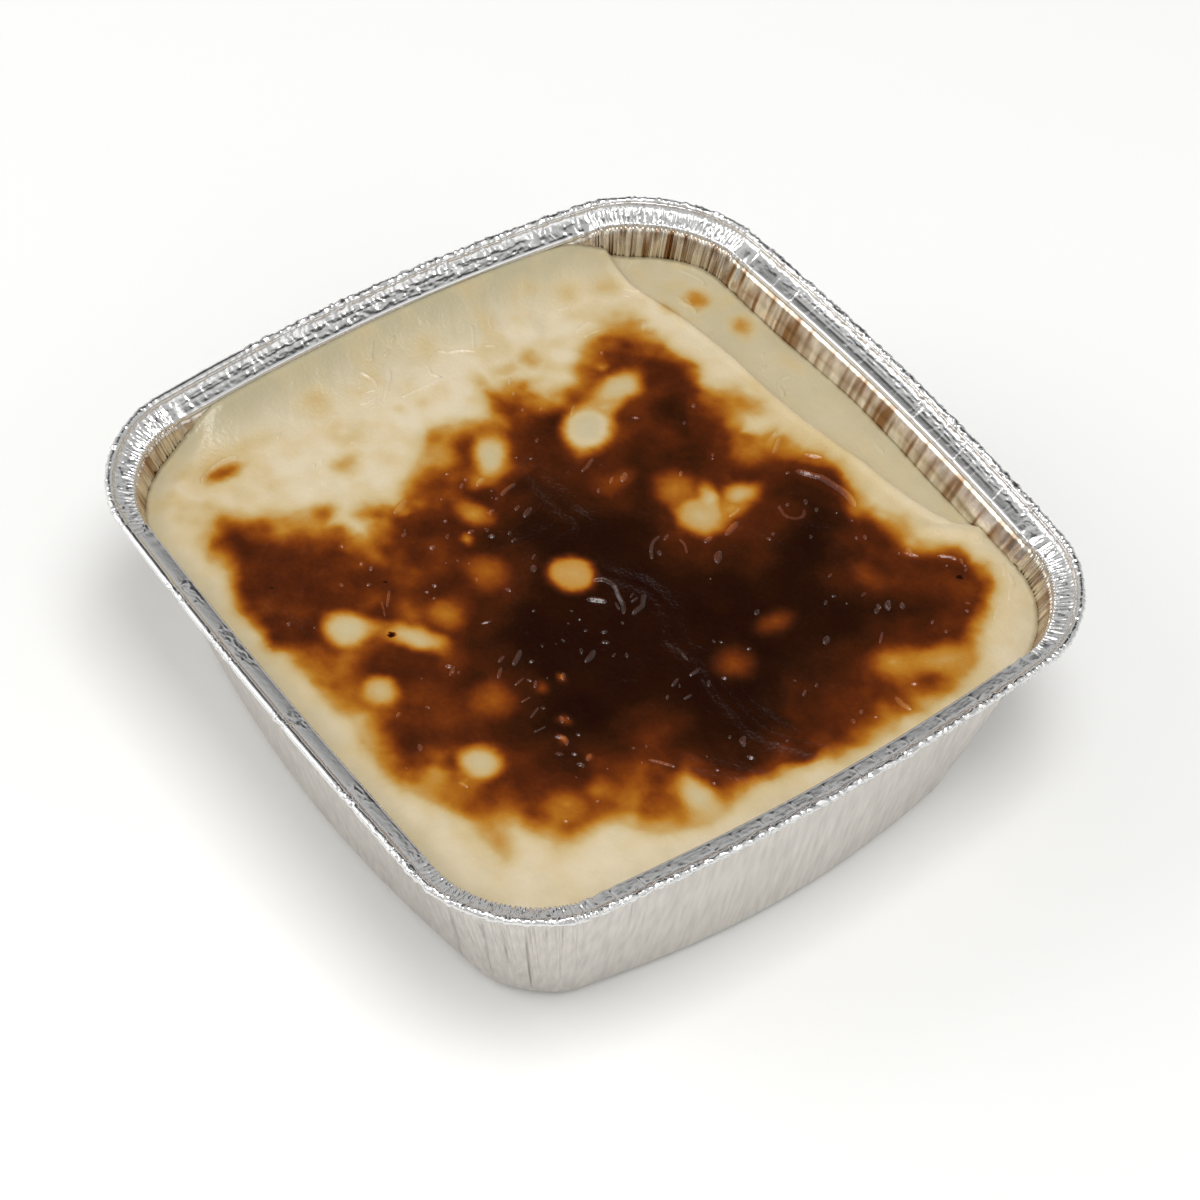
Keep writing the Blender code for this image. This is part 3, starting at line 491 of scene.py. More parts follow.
# Blisters of the browned skin: how many, and their least and greatest radius and height
BLISTERS = 120
BLISTER_RADII = (0.32, 0.75)
BLISTER_HEIGHTS = (0.12, 0.32)
# Factors on the wrinkles' and blisters' width and height, and how much less brown their
# crests are: thinner skin there, and a painted pinkish glint
WRINKLE_GAIN = (1.1, 1.4)
WRINKLE_PALE_AND_GLINT = 0.20
# Spacing of their points, how deep their borders sink, how far their crests lean, the side
# that their long slopes then face, and their points from the crest to a border
WRINKLE_STEP = 0.34
WRINKLE_SINK = 0.04
WRINKLE_CREST = 0.5
GLINT_SIDE = (0.80, -0.60)
WRINKLE_ACROSS = 4

# Factor on the windows' soft edges, and how uneven they are inside
WINDOW_EDGE = 1.22
WINDOW_TONE = 0.03
# How much of the veil shows by the -X wall, past the step fold, along the other walls, where its
# grey is painted shade, and in the windows
VEIL_SIDE = 0.75
VEIL_STEP = 0.55
VEIL_WALL_SHADE = 0.55
VEIL_WINDOW = 0.60

# The browning's rise, in millimetres and amounts: what the bare cream has, the rise to the
# amber line and its width, from there to the red-brown line and its power, from there to the
# dark line as an even share and a steep share with its power, and inside it with its width
BARE_BROWNING = 0.03
AMBER_RISE = (0.17, 1.5)
RED_RISE = (0.41, 0.8)
DARK_RISE = (0.03, 0.07, 4)
CORE_RISE = (0.21, 9)
# Colours of the skin by its browning, of the warm clouds in the cream, and of the veil, which
# along the walls is painted shade
SKIN_COLOURS = (
    (0, "D8C9AC"), (0.045, "D4C29E"), (0.075, "D0BB92"), (0.105, "CBB587"), (0.135, "C7AC79"),
    (0.165, "C2A369"), (0.195, "BE995A"), (0.26, "B7853B"), (0.3, "B27824"), (0.34, "A8691B"),
    (0.38, "9E5C14"), (0.425, "914D0F"), (0.475, "813E0C"), (0.525, "6E320A"), (0.575, "5F290A"),
    (0.63, "4F2109"), (0.69, "421B06"), (0.76, "341605"), (0.85, "260E02"), (0.95, "1D0602"),
)
ROSY_CREAM = "DCCEB2"
VEIL_AND_SHADE_COLOUR = "ACA280"

# Finishes of the foil: name, roughness, strength of the bump, contrast of the drawn streaks
BRIGHT_SIDE = ("pressed aluminium foil, bright side", 0.25, 0.10, 0.0)
MATTE_SIDE = ("pressed aluminium foil, matte side", 0.38, 0.20, 0.13)
DRAWN_WALL = ("pressed aluminium foil, drawn wall", 0.22, 0.12, 0.24)

# How far the camera stands to the right of and above the line that runs to this point
CAMERA_SHIFT = (0.004396, 0.015454)
CAMERA_BASE = (0.00045, -0.00095, 0.0)
# Square lights that face the origin: name, place, width and power in watts
LIGHTS = (
    ("key light", (0.25, -0.10, 1.25), 0.52, 7.4),
    ("left light", (-0.75, -0.95, 0.70), 0.90, 5.4),
    ("right light", (1.10, 0.30, 0.75), 0.90, 1.8),
)
# Where the dark board lies, the cosines between which it comes in, and its brightness
DARK_BOARD = (-0.487, 0.432, 0.759)
DARK_BOARD_EDGE = (0.880, 0.956)
DARK_BOARD_GLOW = 0.015
FLOOR_HALF = 3.0


def linear(code):
    """Linear RGBA of an sRGB hex colour."""
    value = np.array([int(code[start:start + 2], 16) for start in (0, 2, 4)]) / 255
    straight = np.where(value <= 0.04045, value / 12.92, ((value + 0.055) / 1.055) ** 2.4)
    return (*straight.tolist(), 1.0)


def smooth(value):
    """Rises from 0 to 1 along 3 v^2 - 2 v^3."""
    value = np.clip(value, 0, 1)
    return value * value * (3 - 2 * value)


def lattice(across, along, seed, around=NOISE_ROWS):
    """Noise from -1 to 1: random values at whole numbers, joined by smooth curves.

    It repeats after `around` steps across, so a pattern that runs round the tray closes.
    """
    table = np.random.default_rng(seed).uniform(-1, 1, (around, NOISE_ROWS))
    low_x = np.floor(across).astype(int)
    low_y = np.floor(along).astype(int)
    part_x = smooth(across - low_x)
    part_y = smooth(along - low_y)
    x = low_x % around
    y = low_y % NOISE_ROWS
    next_x = (x + 1) % around
    next_y = (y + 1) % NOISE_ROWS
    near = table[x, y] * (1 - part_x) + table[next_x, y] * part_x
    far = table[x, next_y] * (1 - part_x) + table[next_x, next_y] * part_x
    return near * (1 - part_y) + far * part_y


def rough(points, size, seed, layers=3):
    """Sum of layers of noise on the plane, each turned, half as strong and 2.1 times finer."""
    turn = np.array([[0.8, 0.6], [-0.6, 0.8]])
    total = np.zeros(len(points))
    for layer in range(layers):
        cell = points / size + 7.3 * layer
        total += 0.5 ** layer * lattice(cell[:, 0], cell[:, 1], seed + layer)
        points = points @ turn
        size = size / 2.1
    return total / 1.5


def outline(places, half_x, half_y, radii, bows):
    """Points of a rounded rectangle with bowed sides.

    A place counts sides anticlockwise from +X: its first half runs along a side and its second
    half round the corner after it. A bow pushes a side out along half a cosine wave.
    """
    side = np.floor(places).astype(int) % 4
    along = places - np.floor(places)
    radius = np.array(radii)
    corners = np.stack([
        np.array([1, -1, -1, 1]) * (half_x - radius),
        np.array([1, 1, -1, -1]) * (half_y - radius),
    ], axis=1)
    straight_turn = side * np.pi / 2
    corner_turn = straight_turn + np.pi / 2 * np.clip((along - SIDE_SHARE) / (1 - SIDE_SHARE), 0, 1)
    outward = np.stack([np.cos(straight_turn), np.sin(straight_turn)], axis=1)
    round_it = np.stack([np.cos(corner_turn), np.sin(corner_turn)], axis=1)
    before = (side - 1) % 4
    start = corners[before] + radius[before, None] * outward
    end = corners[side] + radius[side, None] * outward
    on_side = start + (end - start) * np.clip(along / SIDE_SHARE, 0, 1)[:, None]
    on_corner = corners[side] + radius[side, None] * round_it
    points = np.where((along < SIDE_SHARE)[:, None], on_side, on_corner)
    u = points[:, 0] / half_x
    v = points[:, 1] / half_y
    bow_x = np.where(u > 0, bows[0], -bows[2]) * np.cos(np.pi / 2 * np.clip(v, -1, 1)) * u ** 4
    bow_y = np.where(v > 0, bows[1], -bows[3]) * np.cos(np.pi / 2 * np.clip(u, -1, 1)) * v ** 4
    return points + np.stack([bow_x, bow_y], axis=1)


def square_to(curve, places):
    """Unit vectors square to a closed anticlockwise curve at each place, pointing into it."""
    tangent = curve(places + PLACE_STEP) - curve(places - PLACE_STEP)
    tangent /= np.linalg.norm(tangent, axis=1, keepdims=True)
    return np.stack([-tangent[:, 1], tangent[:, 0]], axis=1)


def rim_middle():
    """Middle of the rim's outline, which its unequal bows move off the sides' middle."""
    return np.array([RIM_BOWS[0] - RIM_BOWS[2], RIM_BOWS[1] - RIM_BOWS[3]]) / 2


def rim_outline(places):
    """The outside of the rim's bead, seen from above."""
    return outline(places, RIM_HALF_X, RIM_HALF_Y, RIM_RADII, RIM_BOWS) - rim_middle()


def rim_inwards(places):
    """Unit vectors square to the rim's outline, pointing into the tray."""
    return square_to(rim_outline, places)


def foot_outline(places):
    """The foot, seen from above."""
    points = outline(places, FOOT_HALF_X, FOOT_HALF_Y, FOOT_RADII, FOOT_BOWS)
    return points + np.array(FOOT_SHIFT) - rim_middle()


def wall_outline(places, height):
    """The wall at a height, or at one height for each place: straight lines from foot to rim."""
    top = rim_outline(places) + rim_inwards(places) * WALL_INSET
    share = np.broadcast_to(np.asarray(height, float) / WALL_TOP, len(places))[:, None]
    return foot_outline(places) * (1 - share) + top * share


def wall_inwards(places, height):
    """Unit vectors square to the wall at a height, pointing inwards."""
    return square_to(lambda some: wall_outline(some, height), places)


def run_round(places):
    """Share of the rim's length, 0 to 1, that has been run at each place."""
    fine = np.linspace(0, 4, FINE_COUNT)
    steps = np.linalg.norm(np.diff(rim_outline(fine), axis=0), axis=1)
    run = np.concatenate([[0], np.cumsum(steps)])
    return np.interp(places % 4, fine, run / run[-1])


def rim_length():
    """Length of the rim's outline."""
    fine = np.linspace(0, 4, FINE_COUNT)
    return np.linalg.norm(np.diff(rim_outline(fine), axis=0), axis=1).sum()


def apart_round(places, centres, length):
    """Distance along the rim from each centre to each place, the short way round."""
    off = run_round(places)[:, None] - run_round(np.asarray(centres) % 4)
    return (off - np.round(off)) * length


def spread_places(count, corner_density):
    """Places round the tray, closer together at the corners by the density's ratio."""
    fine = np.linspace(0, 4, FINE_COUNT)
    run = run_round(fine[:-1])
    step = np.diff(np.append(run, 1.0))
    middle = fine[:-1] + FINE_HALF
    into_corner = (middle % 1 - SIDE_SHARE) / (1 - SIDE_SHARE)
    dense = smooth((into_corner + DENSE_LEAD) / DENSE_RAMP) * (into_corner <= 1)
    after = middle % 1 < DENSE_AFTER
    weight = 1 + (corner_density - 1) * np.maximum(dense, after)
    total = np.concatenate([[0], np.cumsum(step * weight)])
    return np.interp(np.arange(count) / count * total[-1], total, fine)


def by_place(table, places):
    """Value at each place round the tray, on straight lines between a table's rows."""
    return np.interp(places % 4, *np.array(table).T)


def corner_pleats(places, share):
    """How far the corner pleats push the foil outwards, by place and by share of wall height.

    Each pleat is a raised cosine across the wall. It has its own depth, width and lower end,
    and grows from there towards the rim.
    """
    shifted = places - 0.25
    corner = np.floor(shifted).astype(int) % 4
    into = (shifted - np.floor(shifted) - 0.25) / 0.5
    phase = PLEATS * into + PLEAT_WANDER * lattice(into * 19 + 11 * corner, 0 * into + 0.5, 71)
    number = np.floor(phase).astype(int) + 80 * corner + 20
    part = phase - np.floor(phase)
    draw = np.random.default_rng(72)
    depth = draw.uniform(*PLEAT_SHARES, 400)[number % 400]
    lower = draw.uniform(*PLEAT_ENDS, 400)[number % 400]
    ends = smooth((into + 0.10) / PLEAT_FADE) * smooth((1.10 - into) / PLEAT_FADE)
    profile = (0.5 - 0.5 * np.cos(2 * np.pi * part)) ** 0.8
    depth = depth * PLEAT_DEPTH * by_place(PLEAT_SHARE, places)
    return depth * ends * profile * smooth((share - lower) / PLEAT_RISE)


def wall_dents(places, height):
    """Slow dents and faint upright streaks of the wall, outwards."""
    run = run_round(places)
    length = rim_length()
    total = 0
    for (along, up, depth), seed in ((WALL_WAVE, 73), (WALL_STREAK, 74)):
        count = int(length / along)
        total = total + depth * lattice(run * count, height / up + 3, seed, count)
    share = height / WALL_TOP
    return total * smooth(share / 0.2) * smooth((1.05 - share) / 0.3)


def wall_creases(places, height):
    """Sharp upright creases: bell-shaped grooves along straight lines down the wall."""
    total = 0
    length = rim_length()
    run = run_round(places)
    for high_place, high, low_place, low, depth, width in WALL_CREASES:
        share = (high - height) / (high - low)
        centre = high_place + (low_place - high_place) * share
        off = run - run_round(centre)
        off = (off - np.round(off)) * length
        ends = smooth(share / 0.15) * smooth((1 - share) / 0.15)
        total = total + depth * ends * np.exp(-(off / width) ** 2)
    return total


def wall_flare(places, height):
    """How far the wall stands in: most at the pudding's level, and flaring out above it."""
    below = smooth((height - FLARE_START) / (FLARE_LEVEL - FLARE_START))
    above = 1 - np.clip((height - FLARE_LEVEL) / (WALL_TOP - FLARE_LEVEL), 0, 1) ** FLARE_POWER
    return MM * by_place(WALL_FLARE, places) * np.minimum(below, above)


def wall_push(places, height):
    """All that pushes the wall outwards at places and heights."""
    height = np.broadcast_to(np.asarray(height, float), len(places))
    relief = wall_dents(places, height) + wall_creases(places, height)
    return corner_pleats(places, height / WALL_TOP) + relief - wall_flare(places, height)


def smooth_curve(knots, count):
    """Catmull-Rom curve through knots: `count` points between neighbouring knots."""
    knots = np.array(knots, float)
    padded = np.concatenate([[2 * knots[0] - knots[1]], knots, [2 * knots[-1] - knots[-2]]])
    step = np.linspace(0, 1, count, endpoint=False)[:, None]
    pieces = []
    for row in range(len(knots) - 1):
        a, b, c, d = padded[row:row + 4]
        pieces.append(0.5 * (2 * b + (c - a) * step + (2 * a - 5 * b + 4 * c - d) * step ** 2
                             + (3 * b - a - 3 * c + d) * step ** 3))
    return np.concatenate([*pieces, knots[-1:]])


def grid_normals(grid):
    """Unit normals of a grid of points, rings by stations, that closes along its stations."""
    along = np.roll(grid, -1, axis=1) - np.roll(grid, 1, axis=1)
    across = np.gradient(grid, axis=0)
    normals = np.cross(along, across)
    return normals / np.linalg.norm(normals, axis=2, keepdims=True)


def strip_faces(rows, count, first=0):
    """Quads between neighbouring rings of a grid that closes along its stations."""
    here = np.arange(count)
    after = (here + 1) % count
    low = first + np.arange(rows - 1)[:, None] * count
    high = low + count
    return np.stack([low + here, low + after, high + after, high + here], axis=-1).reshape(-1, 4)


def fan_faces(ring_start, count, pole):
    """Triangles from a pole to each two neighbours on a ring."""
    here = np.arange(count)
    after = (here + 1) % count
    return np.stack([np.full(count, pole), ring_start + after, ring_start + here], axis=-1)


def add_piece(name, vertices, faces, materials, slots=None):
    """A mesh object from an array of points and a list of face arrays."""
    mesh = bpy.data.meshes.new(name)
    loops = np.concatenate([part.ravel() for part in faces])
    sizes = np.concatenate([np.full(len(part), part.shape[1]) for part in faces])
    starts = np.concatenate([[0], np.cumsum(sizes)[:-1]])
    mesh.vertices.add(len(vertices))
    mesh.vertices.foreach_set("co", np.asarray(vertices, np.float32).ravel())
    mesh.loops.add(len(loops))
    mesh.loops.foreach_set("vertex_index", loops.astype(np.int32))
    mesh.polygons.add(len(sizes))
    mesh.polygons.foreach_set("loop_start", starts.astype(np.int32))
    for finish in materials:
        mesh.materials.append(finish)
    if slots is not None:
        mesh.polygons.foreach_set("material_index", slots.astype(np.int32))
    mesh.update(calc_edges=True)
    if mesh.validate():
        raise RuntimeError(f"{name} has faces that Blender had to mend")
    mesh.shade_smooth()
    piece = bpy.data.objects.new(name, mesh)
    bpy.context.scene.collection.objects.link(piece)
    return piece


def signed_volume(vertices, faces):
    """Volume inside a closed mesh, negative where its faces point inwards."""
    total = 0.0
    for part in faces:
        first = vertices[part[:, 0]]
        for corner in range(1, part.shape[1] - 1):
            second = vertices[part[:, corner]]
            third = vertices[part[:, corner + 1]]
            total += np.einsum("ij,ij->i", first, np.cross(second, third)).sum() / 6
    return total


def facing_out(vertices, faces):
    """The faces, turned round where the volume inside is negative."""
    if signed_volume(vertices, faces) < 0:
        return [part[:, ::-1] for part in faces]
    return faces


def milk_and_reflection_film(places, height):
    """Brown streaks inside the wall above the pudding, 0 to 1: dried milk and painted skin reflection."""
    run = run_round(places)
    total = 0
    for cell, share, seed in REFLECTION_FILM_STREAKS:
        count = int(rim_length() / cell)
        total = total + share * lattice(run * count, height / REFLECTION_FILM_LENGTH, seed, count)
    amount = by_place(REFLECTION_FILM, places) * (REFLECTION_FILM_EVEN + REFLECTION_FILM_CONTRAST * total)
    return np.clip(amount * smooth((REFLECTION_FILM_TOP - height) / REFLECTION_FILM_FADE), 0, 1)


def join_ring(places, outwards):
    """The ring where the walls and the rim meet, half a thickness in or out of the foil's middle."""
    inwards = wall_inwards(places, WALL_JOIN)
    push = wall_push(places, WALL_JOIN) + outwards
    points = wall_outline(places, WALL_JOIN) - inwards * push[:, None]
    return np.column_stack([points, np.full(len(places), WALL_JOIN)])


def foil_walls(settings, finishes):
    """The base and walls up to WALL_JOIN: a grid of rings by stations, offset both ways.

    The rings run out from the base's middle, round the foot's edge, and up straight lines to
    the rim. wall_push moves them outwards, and half the foil's thickness each way gives the
    two faces.
    """
    places = spread_places(settings.stations, settings.corner_density)
    half = settings.thickness / 2
    rings = []
    for share in BASE_SHARES:
        foot = wall_outline(places, half) * share + np.array(FOOT_SHIFT) * (1 - share)
        foot = foot + wall_inwards(places, half) * FOOT_ROUND * share
        rings.append(np.column_stack([foot, np.full(len(foot), half)]))
    for step in FOOT_STEPS:
        height = half + FOOT_ROUND * step ** 2
        wall = wall_outline(places, height) + wall_inwards(places, height) * FOOT_ROUND * (1 - step) ** 2
        rings.append(np.column_stack([wall, np.full(len(wall), height)]))
    low = half + FOOT_ROUND
    for share in WALL_SHARES:
        height = low + (WALL_JOIN - low) * share
        push = wall_push(places, height)[:, None]
        wall = wall_outline(places, height) - wall_inwards(places, height) * push
        rings.append(np.column_stack([wall, np.full(len(wall), height)]))
    middle = np.array(rings)
    normals = grid_normals(middle)
    normals *= np.sign(normals[0, 0, 2])
    normals[:4] = (0, 0, 1)
    inner = middle + normals * half
    outer = middle - normals * half
    inner[-1] = join_ring(places, -half)
    outer[-1] = join_ring(places, half)
    rows, count = middle.shape[:2]
    total = rows * count
    poles = [[*FOOT_SHIFT, settings.thickness], [*FOOT_SHIFT, 0.0]]
    vertices = np.concatenate([inner.reshape(-1, 3), outer.reshape(-1, 3), poles])
    here = np.arange(count)
    after = (here + 1) % count
    top = (rows - 1) * count
    join = np.stack([top + here, top + after, total + top + after, total + top + here], axis=-1)
    faces = [strip_faces(rows, count), join, strip_faces(rows, count, total)[:, ::-1],
             fan_faces(0, count, 2 * total), fan_faces(total, count, 2 * total + 1)[:, ::-1]]
    matte = [np.zeros(len(faces[0])), np.zeros(count), np.ones(len(faces[2])), np.zeros(count),
             np.ones(count)]
    faces = facing_out(vertices, faces)
    piece = add_piece("foil_walls", vertices, faces, finishes, np.concatenate(matte))
    # The inner faces get the brown streaks: dried milk and painted reflection of the browned skin
    values = np.zeros(len(vertices), np.float32)
    values[:total] = milk_and_reflection_film(np.tile(places, rows), inner.reshape(-1, 3)[:, 2])
    piece.data.attributes.new("film_and_reflection", "FLOAT", "POINT").data.foreach_set("value", values)
    return piece


def even_points(knots, step):
    """Points at an even spacing along the smooth curve through knots."""
    dense = smooth_curve(knots, 16)
    run = np.concatenate([[0], np.cumsum(np.linalg.norm(np.diff(dense, axis=0), axis=1))])
    at = np.linspace(0, run[-1], int(round(run[-1] / step)) + 1)
    return np.column_stack([np.interp(at, run, dense[:, 0]), np.interp(at, run, dense[:, 1])])


def all_rim_creases():
    """The single creases, and those drawn at random along CREASE_RUNS, as rows of one array."""
    rows = list(RIM_CREASES)
    draw = np.random.default_rng(87)
    for first, last, spacing, amount, width, start, end, out in CREASE_RUNS:
        count = int((last - first) / 4 * rim_length() / MM / spacing)
        places = first + (last - first) * (np.arange(count) + draw.uniform(-0.45, 0.45, count)) / count
        signs = np.where(draw.uniform(0, 1, count) < out, 1, -1)
        amounts = signs * amount * draw.uniform(0.35, 1, count)
        starts = draw.uniform(start, start + 0.35 * (end - start), count)
        ends = draw.uniform(end - 0.35 * (end - start), end, count)
        widths = width * draw.uniform(0.8, 1.5, count)
        leans = draw.normal(0, 0.45, count)
        rows += list(zip(places, amounts, widths, starts, ends, leans))
    return np.array(rows)


def rim_relief(places, reach, creases):
    """How far the rim's foil is pushed out at a reach, in millimetres, along its section.

    Two layers of ridged noise, bent by slower noise, make the crumples. Creases across the rim
    and along it are bell-shaped.
    """
    length = rim_length()
    run = run_round(places)
    to_bead = smooth((reach - BEAD_REACH[0]) / BEAD_REACH[1])
    inner = by_place(OUTER_CRUMPLE, places) * (1 - smooth((reach - OUTER_REACH[0]) / OUTER_REACH[1]))
    started = smooth((reach - LEDGE_REACH[0]) / LEDGE_REACH[1])
    ledge = by_place(LEDGE_CRUMPLE, places) * (1 - inner) * started
    mask = ledge * (1 - to_bead) + BEAD_CRUMPLE_GAIN * by_place(BEAD_CRUMPLE, places) * to_bead
    stretch = by_place(CRUMPLE_STRETCH, places)
    total = np.zeros(len(places))
    for number, (cell, amount) in enumerate(CRUMPLES):
        count = int(length / cell)
        slow = count // 3
        bend = CRUMPLE_BEND * lattice(run * slow, 0 * run + reach / 1.1, 91 + number, slow)
        across = reach / (cell / MM) / stretch + bend
        noise = np.abs(lattice(run * count + bend, across, 81 + number, count))
        total += mask * amount * (CRUMPLE_RIDGE[0] * noise - CRUMPLE_RIDGE[1])
    place, sizes, widths, starts, ends, leans = creases.T
    gate = smooth((reach - starts) / 0.4) * smooth((ends - reach) / 0.5)
    live = gate > 0
    if live.any():
        off = apart_round(places, place[live], length) / MM - leans[live] * (reach - starts[live]) / 3
        total += (MM * sizes * gate)[live] @ np.exp(-(off / widths[live]) ** 2).T
    for first, last, at, amount, width in LONG_CREASES:
        ends_in = smooth((places - first) / 0.04) * smooth((last - places) / 0.04)
        wander = at + 0.18 * lattice(run * 24, 0 * run + at, 95, 24)
        total += MM * amount * ends_in * np.exp(-((reach - wander) / width) ** 2)
    return total


def rim_surfaces(settings):
    """Upper and lower face of the rim's foil, rings by stations, and how many rings are ledge.

    The section runs up the wall, over the ledge and round the bead. Pleats from the corners
    run out over the ledge, and rim_relief pushes the foil along its own normal.
    """
    places = spread_places(settings.stations, settings.corner_density)
    edge = rim_outline(places)
    inwards = rim_inwards(places)
    ledge = even_points(LEDGE, LEDGE_STEP)
    angles = np.radians(np.linspace(BEAD_START, BEAD_END, settings.bead_rings))[1:]
    bead = np.stack([BEAD_INSET + BEAD_RADIUS * np.cos(angles),
                     BEAD_HEIGHT + BEAD_RADIUS * np.sin(angles)], axis=1)
    rings = [np.column_stack([wall_outline(places, height), np.full(len(places), height)])
             for height in WALL_RINGS]
    rings += [np.column_stack([edge + inwards * inset, np.full(len(places), height)])
              for inset, height in np.concatenate([ledge, bead])]
    middle = np.array(rings)
    normals = grid_normals(middle)
    normals *= np.sign(normals[8, 0, 2])
    steps = np.linalg.norm(np.diff(middle[:, 0], axis=0), axis=1)
    reach = (np.concatenate([[0], np.cumsum(steps)]) - steps[:len(WALL_RINGS)].sum()) / MM
    creases = all_rim_creases()
    push = np.zeros(middle.shape[:2])
    pleats = corner_pleats(places, np.ones(len(places)))
    for row, at in enumerate(reach):
        spread = np.interp(at, *PLEAT_SPREAD)
        push[row] = rim_relief(places, at, creases) - spread * pleats
    for row in range(len(WALL_RINGS)):
        push[row] = -wall_push(places, WALL_RINGS[row])
    middle += normals * push[..., None]
    normals = grid_normals(middle)
    normals *= np.sign(normals[8, 0, 2])
    half = settings.thickness / 2
    upper = middle + normals * half
    lower = middle - normals * half
    upper[0] = join_ring(places, -half)
    lower[0] = join_ring(places, half)
    return upper, lower, len(WALL_RINGS) + len(ledge)


def rim_piece(name, upper, lower, finish):
    """A strip of the rim, closed all round: its upper rings, and every fourth of its lower ones."""
    rows, count = upper.shape[:2]
    under = np.unique(np.append(np.arange(0, rows, 4), rows - 1))[::-1]
    grid = np.concatenate([upper, lower[under]])
    vertices = grid.reshape(-1, 3)
    here = np.arange(count)
    after = (here + 1) % count
    last = (len(grid) - 1) * count
    close = np.stack([last + here, last + after, after, here], axis=-1)
    faces = facing_out(vertices, [strip_faces(len(grid), count), close])
    return add_piece(name, vertices, faces, [finish])


def distance_to_line(points, line):
    """Distance from each point to a line through several points, and the side it lies on."""
    line = np.array(line)
    start = line[:-1]
    run = line[1:] - start
    offset = points[:, None] - start
    share = np.clip((offset * run).sum(2) / (run ** 2).sum(1), 0, 1)
    apart = offset - share[..., None] * run
    distance = np.linalg.norm(apart, axis=2)
    nearest = distance.argmin(axis=1)
    rows = np.arange(len(points))
    turned = run[nearest, 0] * offset[rows, nearest, 1] - run[nearest, 1] * offset[rows, nearest, 0]
    return distance[rows, nearest], np.sign(turned)


def inside_distance(points, lines):
    """How far each point lies inside the closed lines, negative outside them."""
    nearest = np.full(len(points), np.inf)
    inside = np.zeros(len(points), bool)
    for line in lines:
        start = np.array(line, float)
        run = np.roll(start, -1, axis=0) - start
        rise = np.where(run[:, 1] == 0, 1, run[:, 1])
        for (x, y), (run_x, run_y), up in zip(start, run, rise):
            off_x = points[:, 0] - x
            off_y = points[:, 1] - y
            share = np.clip((off_x * run_x + off_y * run_y) / (run_x ** 2 + run_y ** 2), 0, 1)
            nearest = np.minimum(nearest, np.hypot(off_x - share * run_x, off_y - share * run_y))
            crosses = (off_y < 0) != (off_y < run_y)
            inside ^= crosses & (off_x < off_y / up * run_x)
    return np.where(inside, nearest, -nearest)


def spot_offsets(points, x, y, turn):
    """Coordinates along and across a spot that lies turned at (x, y)."""
    cosine = np.cos(np.radians(turn))
    sine = np.sin(np.radians(turn))
    off = points - (x, y)
    return cosine * off[:, 0] + sine * off[:, 1], cosine * off[:, 1] - sine * off[:, 0]


def browning(points):
    """How brown the milk skin is, 0 to 1, at points in millimetres from MAP_MIDDLE.

    It rises exponentially to the amber line, then with a power of the share of the way to the
    red-brown line, then with the share of the way to the dark line and its fourth power. It
    rises once more inside the dark line, and levels off. Noise moves the points and mottles the
    value. Patches raise or lower it along a bell curve, windows draw it down over a soft edge,
    and spots raise the cream along a bell curve.
    """
    warp = np.stack([rough(points, 4.0, 3), rough(points, 4.0, 13)], axis=1)
    fine = np.stack([rough(points, 1.3, 23, 2), rough(points, 1.3, 33, 2)], axis=1)
    moved = points + 0.7 * warp + 0.16 * fine
    amber = inside_distance(moved, AMBER_LINES)
    red = inside_distance(moved, RED_LINES)
    dark = inside_distance(moved, DARK_LINES)
    to_red = np.clip(amber, 0, None) / (np.clip(amber, 0, None) + np.clip(-red, 0, None) + 1e-6)
    to_dark = np.clip(red, 0, None) / (np.clip(red, 0, None) + np.clip(-dark, 0, None) + 1e-6)
    value = BARE_BROWNING + AMBER_RISE[0] * np.exp(np.minimum(amber, 0) / AMBER_RISE[1])
    value += RED_RISE[0] * to_red ** RED_RISE[1]
    value += DARK_RISE[0] * to_dark + DARK_RISE[1] * to_dark ** DARK_RISE[2]
    value += CORE_RISE[0] * smooth(np.clip(dark, 0, None) / CORE_RISE[1])
    mottle = 0.9 * rough(points, 4.2, 53, 1) + 0.35 * rough(points, 2.0, 63, 1)
    cream = 0.05 + 0.07 * smooth((-30 - points[:, 0]) / 12)
    band = smooth((value - 0.14) / 0.16) * smooth((0.66 - value) / 0.16)
    value += mottle * (cream + 0.05 * smooth((value - 0.2) / 0.25) + 0.11 * band)
    still = points + 0.6 * warp + 0.15 * fine
    for x, y, length, width, turn, amount in PATCHES:
        u, v = spot_offsets(still, x, y, turn)
        value += amount * np.exp(-0.7 * ((u / length) ** 2 + (v / width) ** 2))
    for x, y, length, width, turn, level, edge in WINDOWS:
        u, v = spot_offsets(still, x, y, turn)
        out = (np.hypot(u / length, v / width) - 1) * np.sqrt(length * width)
        rise = smooth((out + 0.3) / (WINDOW_EDGE * edge))
        pale = level + WINDOW_TONE * mottle + 0.06 * np.clip(out / np.sqrt(length * width), -1, 0)
        value = np.minimum(value, pale + (value - pale) * rise)
    for x, y, length, width, turn, level in SPOTS:
        u, v = spot_offsets(points + 0.9 * warp + 0.4 * fine, x, y, turn)
        value = np.maximum(value, level * np.exp(-(u / length) ** 2 - (v / width) ** 2))
    for x, y, radius in SPECKS:
        near = np.hypot(*(points - (x, y)).T)
        value = np.maximum(value, smooth((radius - near) / 0.3 + 0.5))
    return np.clip(value, 0, 1)


def wall_gap(points):
    """Distance from points of the skin to the wall at the skin's level."""
    ring = wall_outline(np.linspace(0, 4, 161)[:-1], FILL_LEVEL)
    return inside_distance(points, [ring])


def beyond_step(points):
    """Distance from the step fold, positive on the side of the wall that it runs along."""
    distance, side = distance_to_line(points, STEP_FOLD)
    return np.where(points[:, 1] > 0.030, distance * side, -distance)


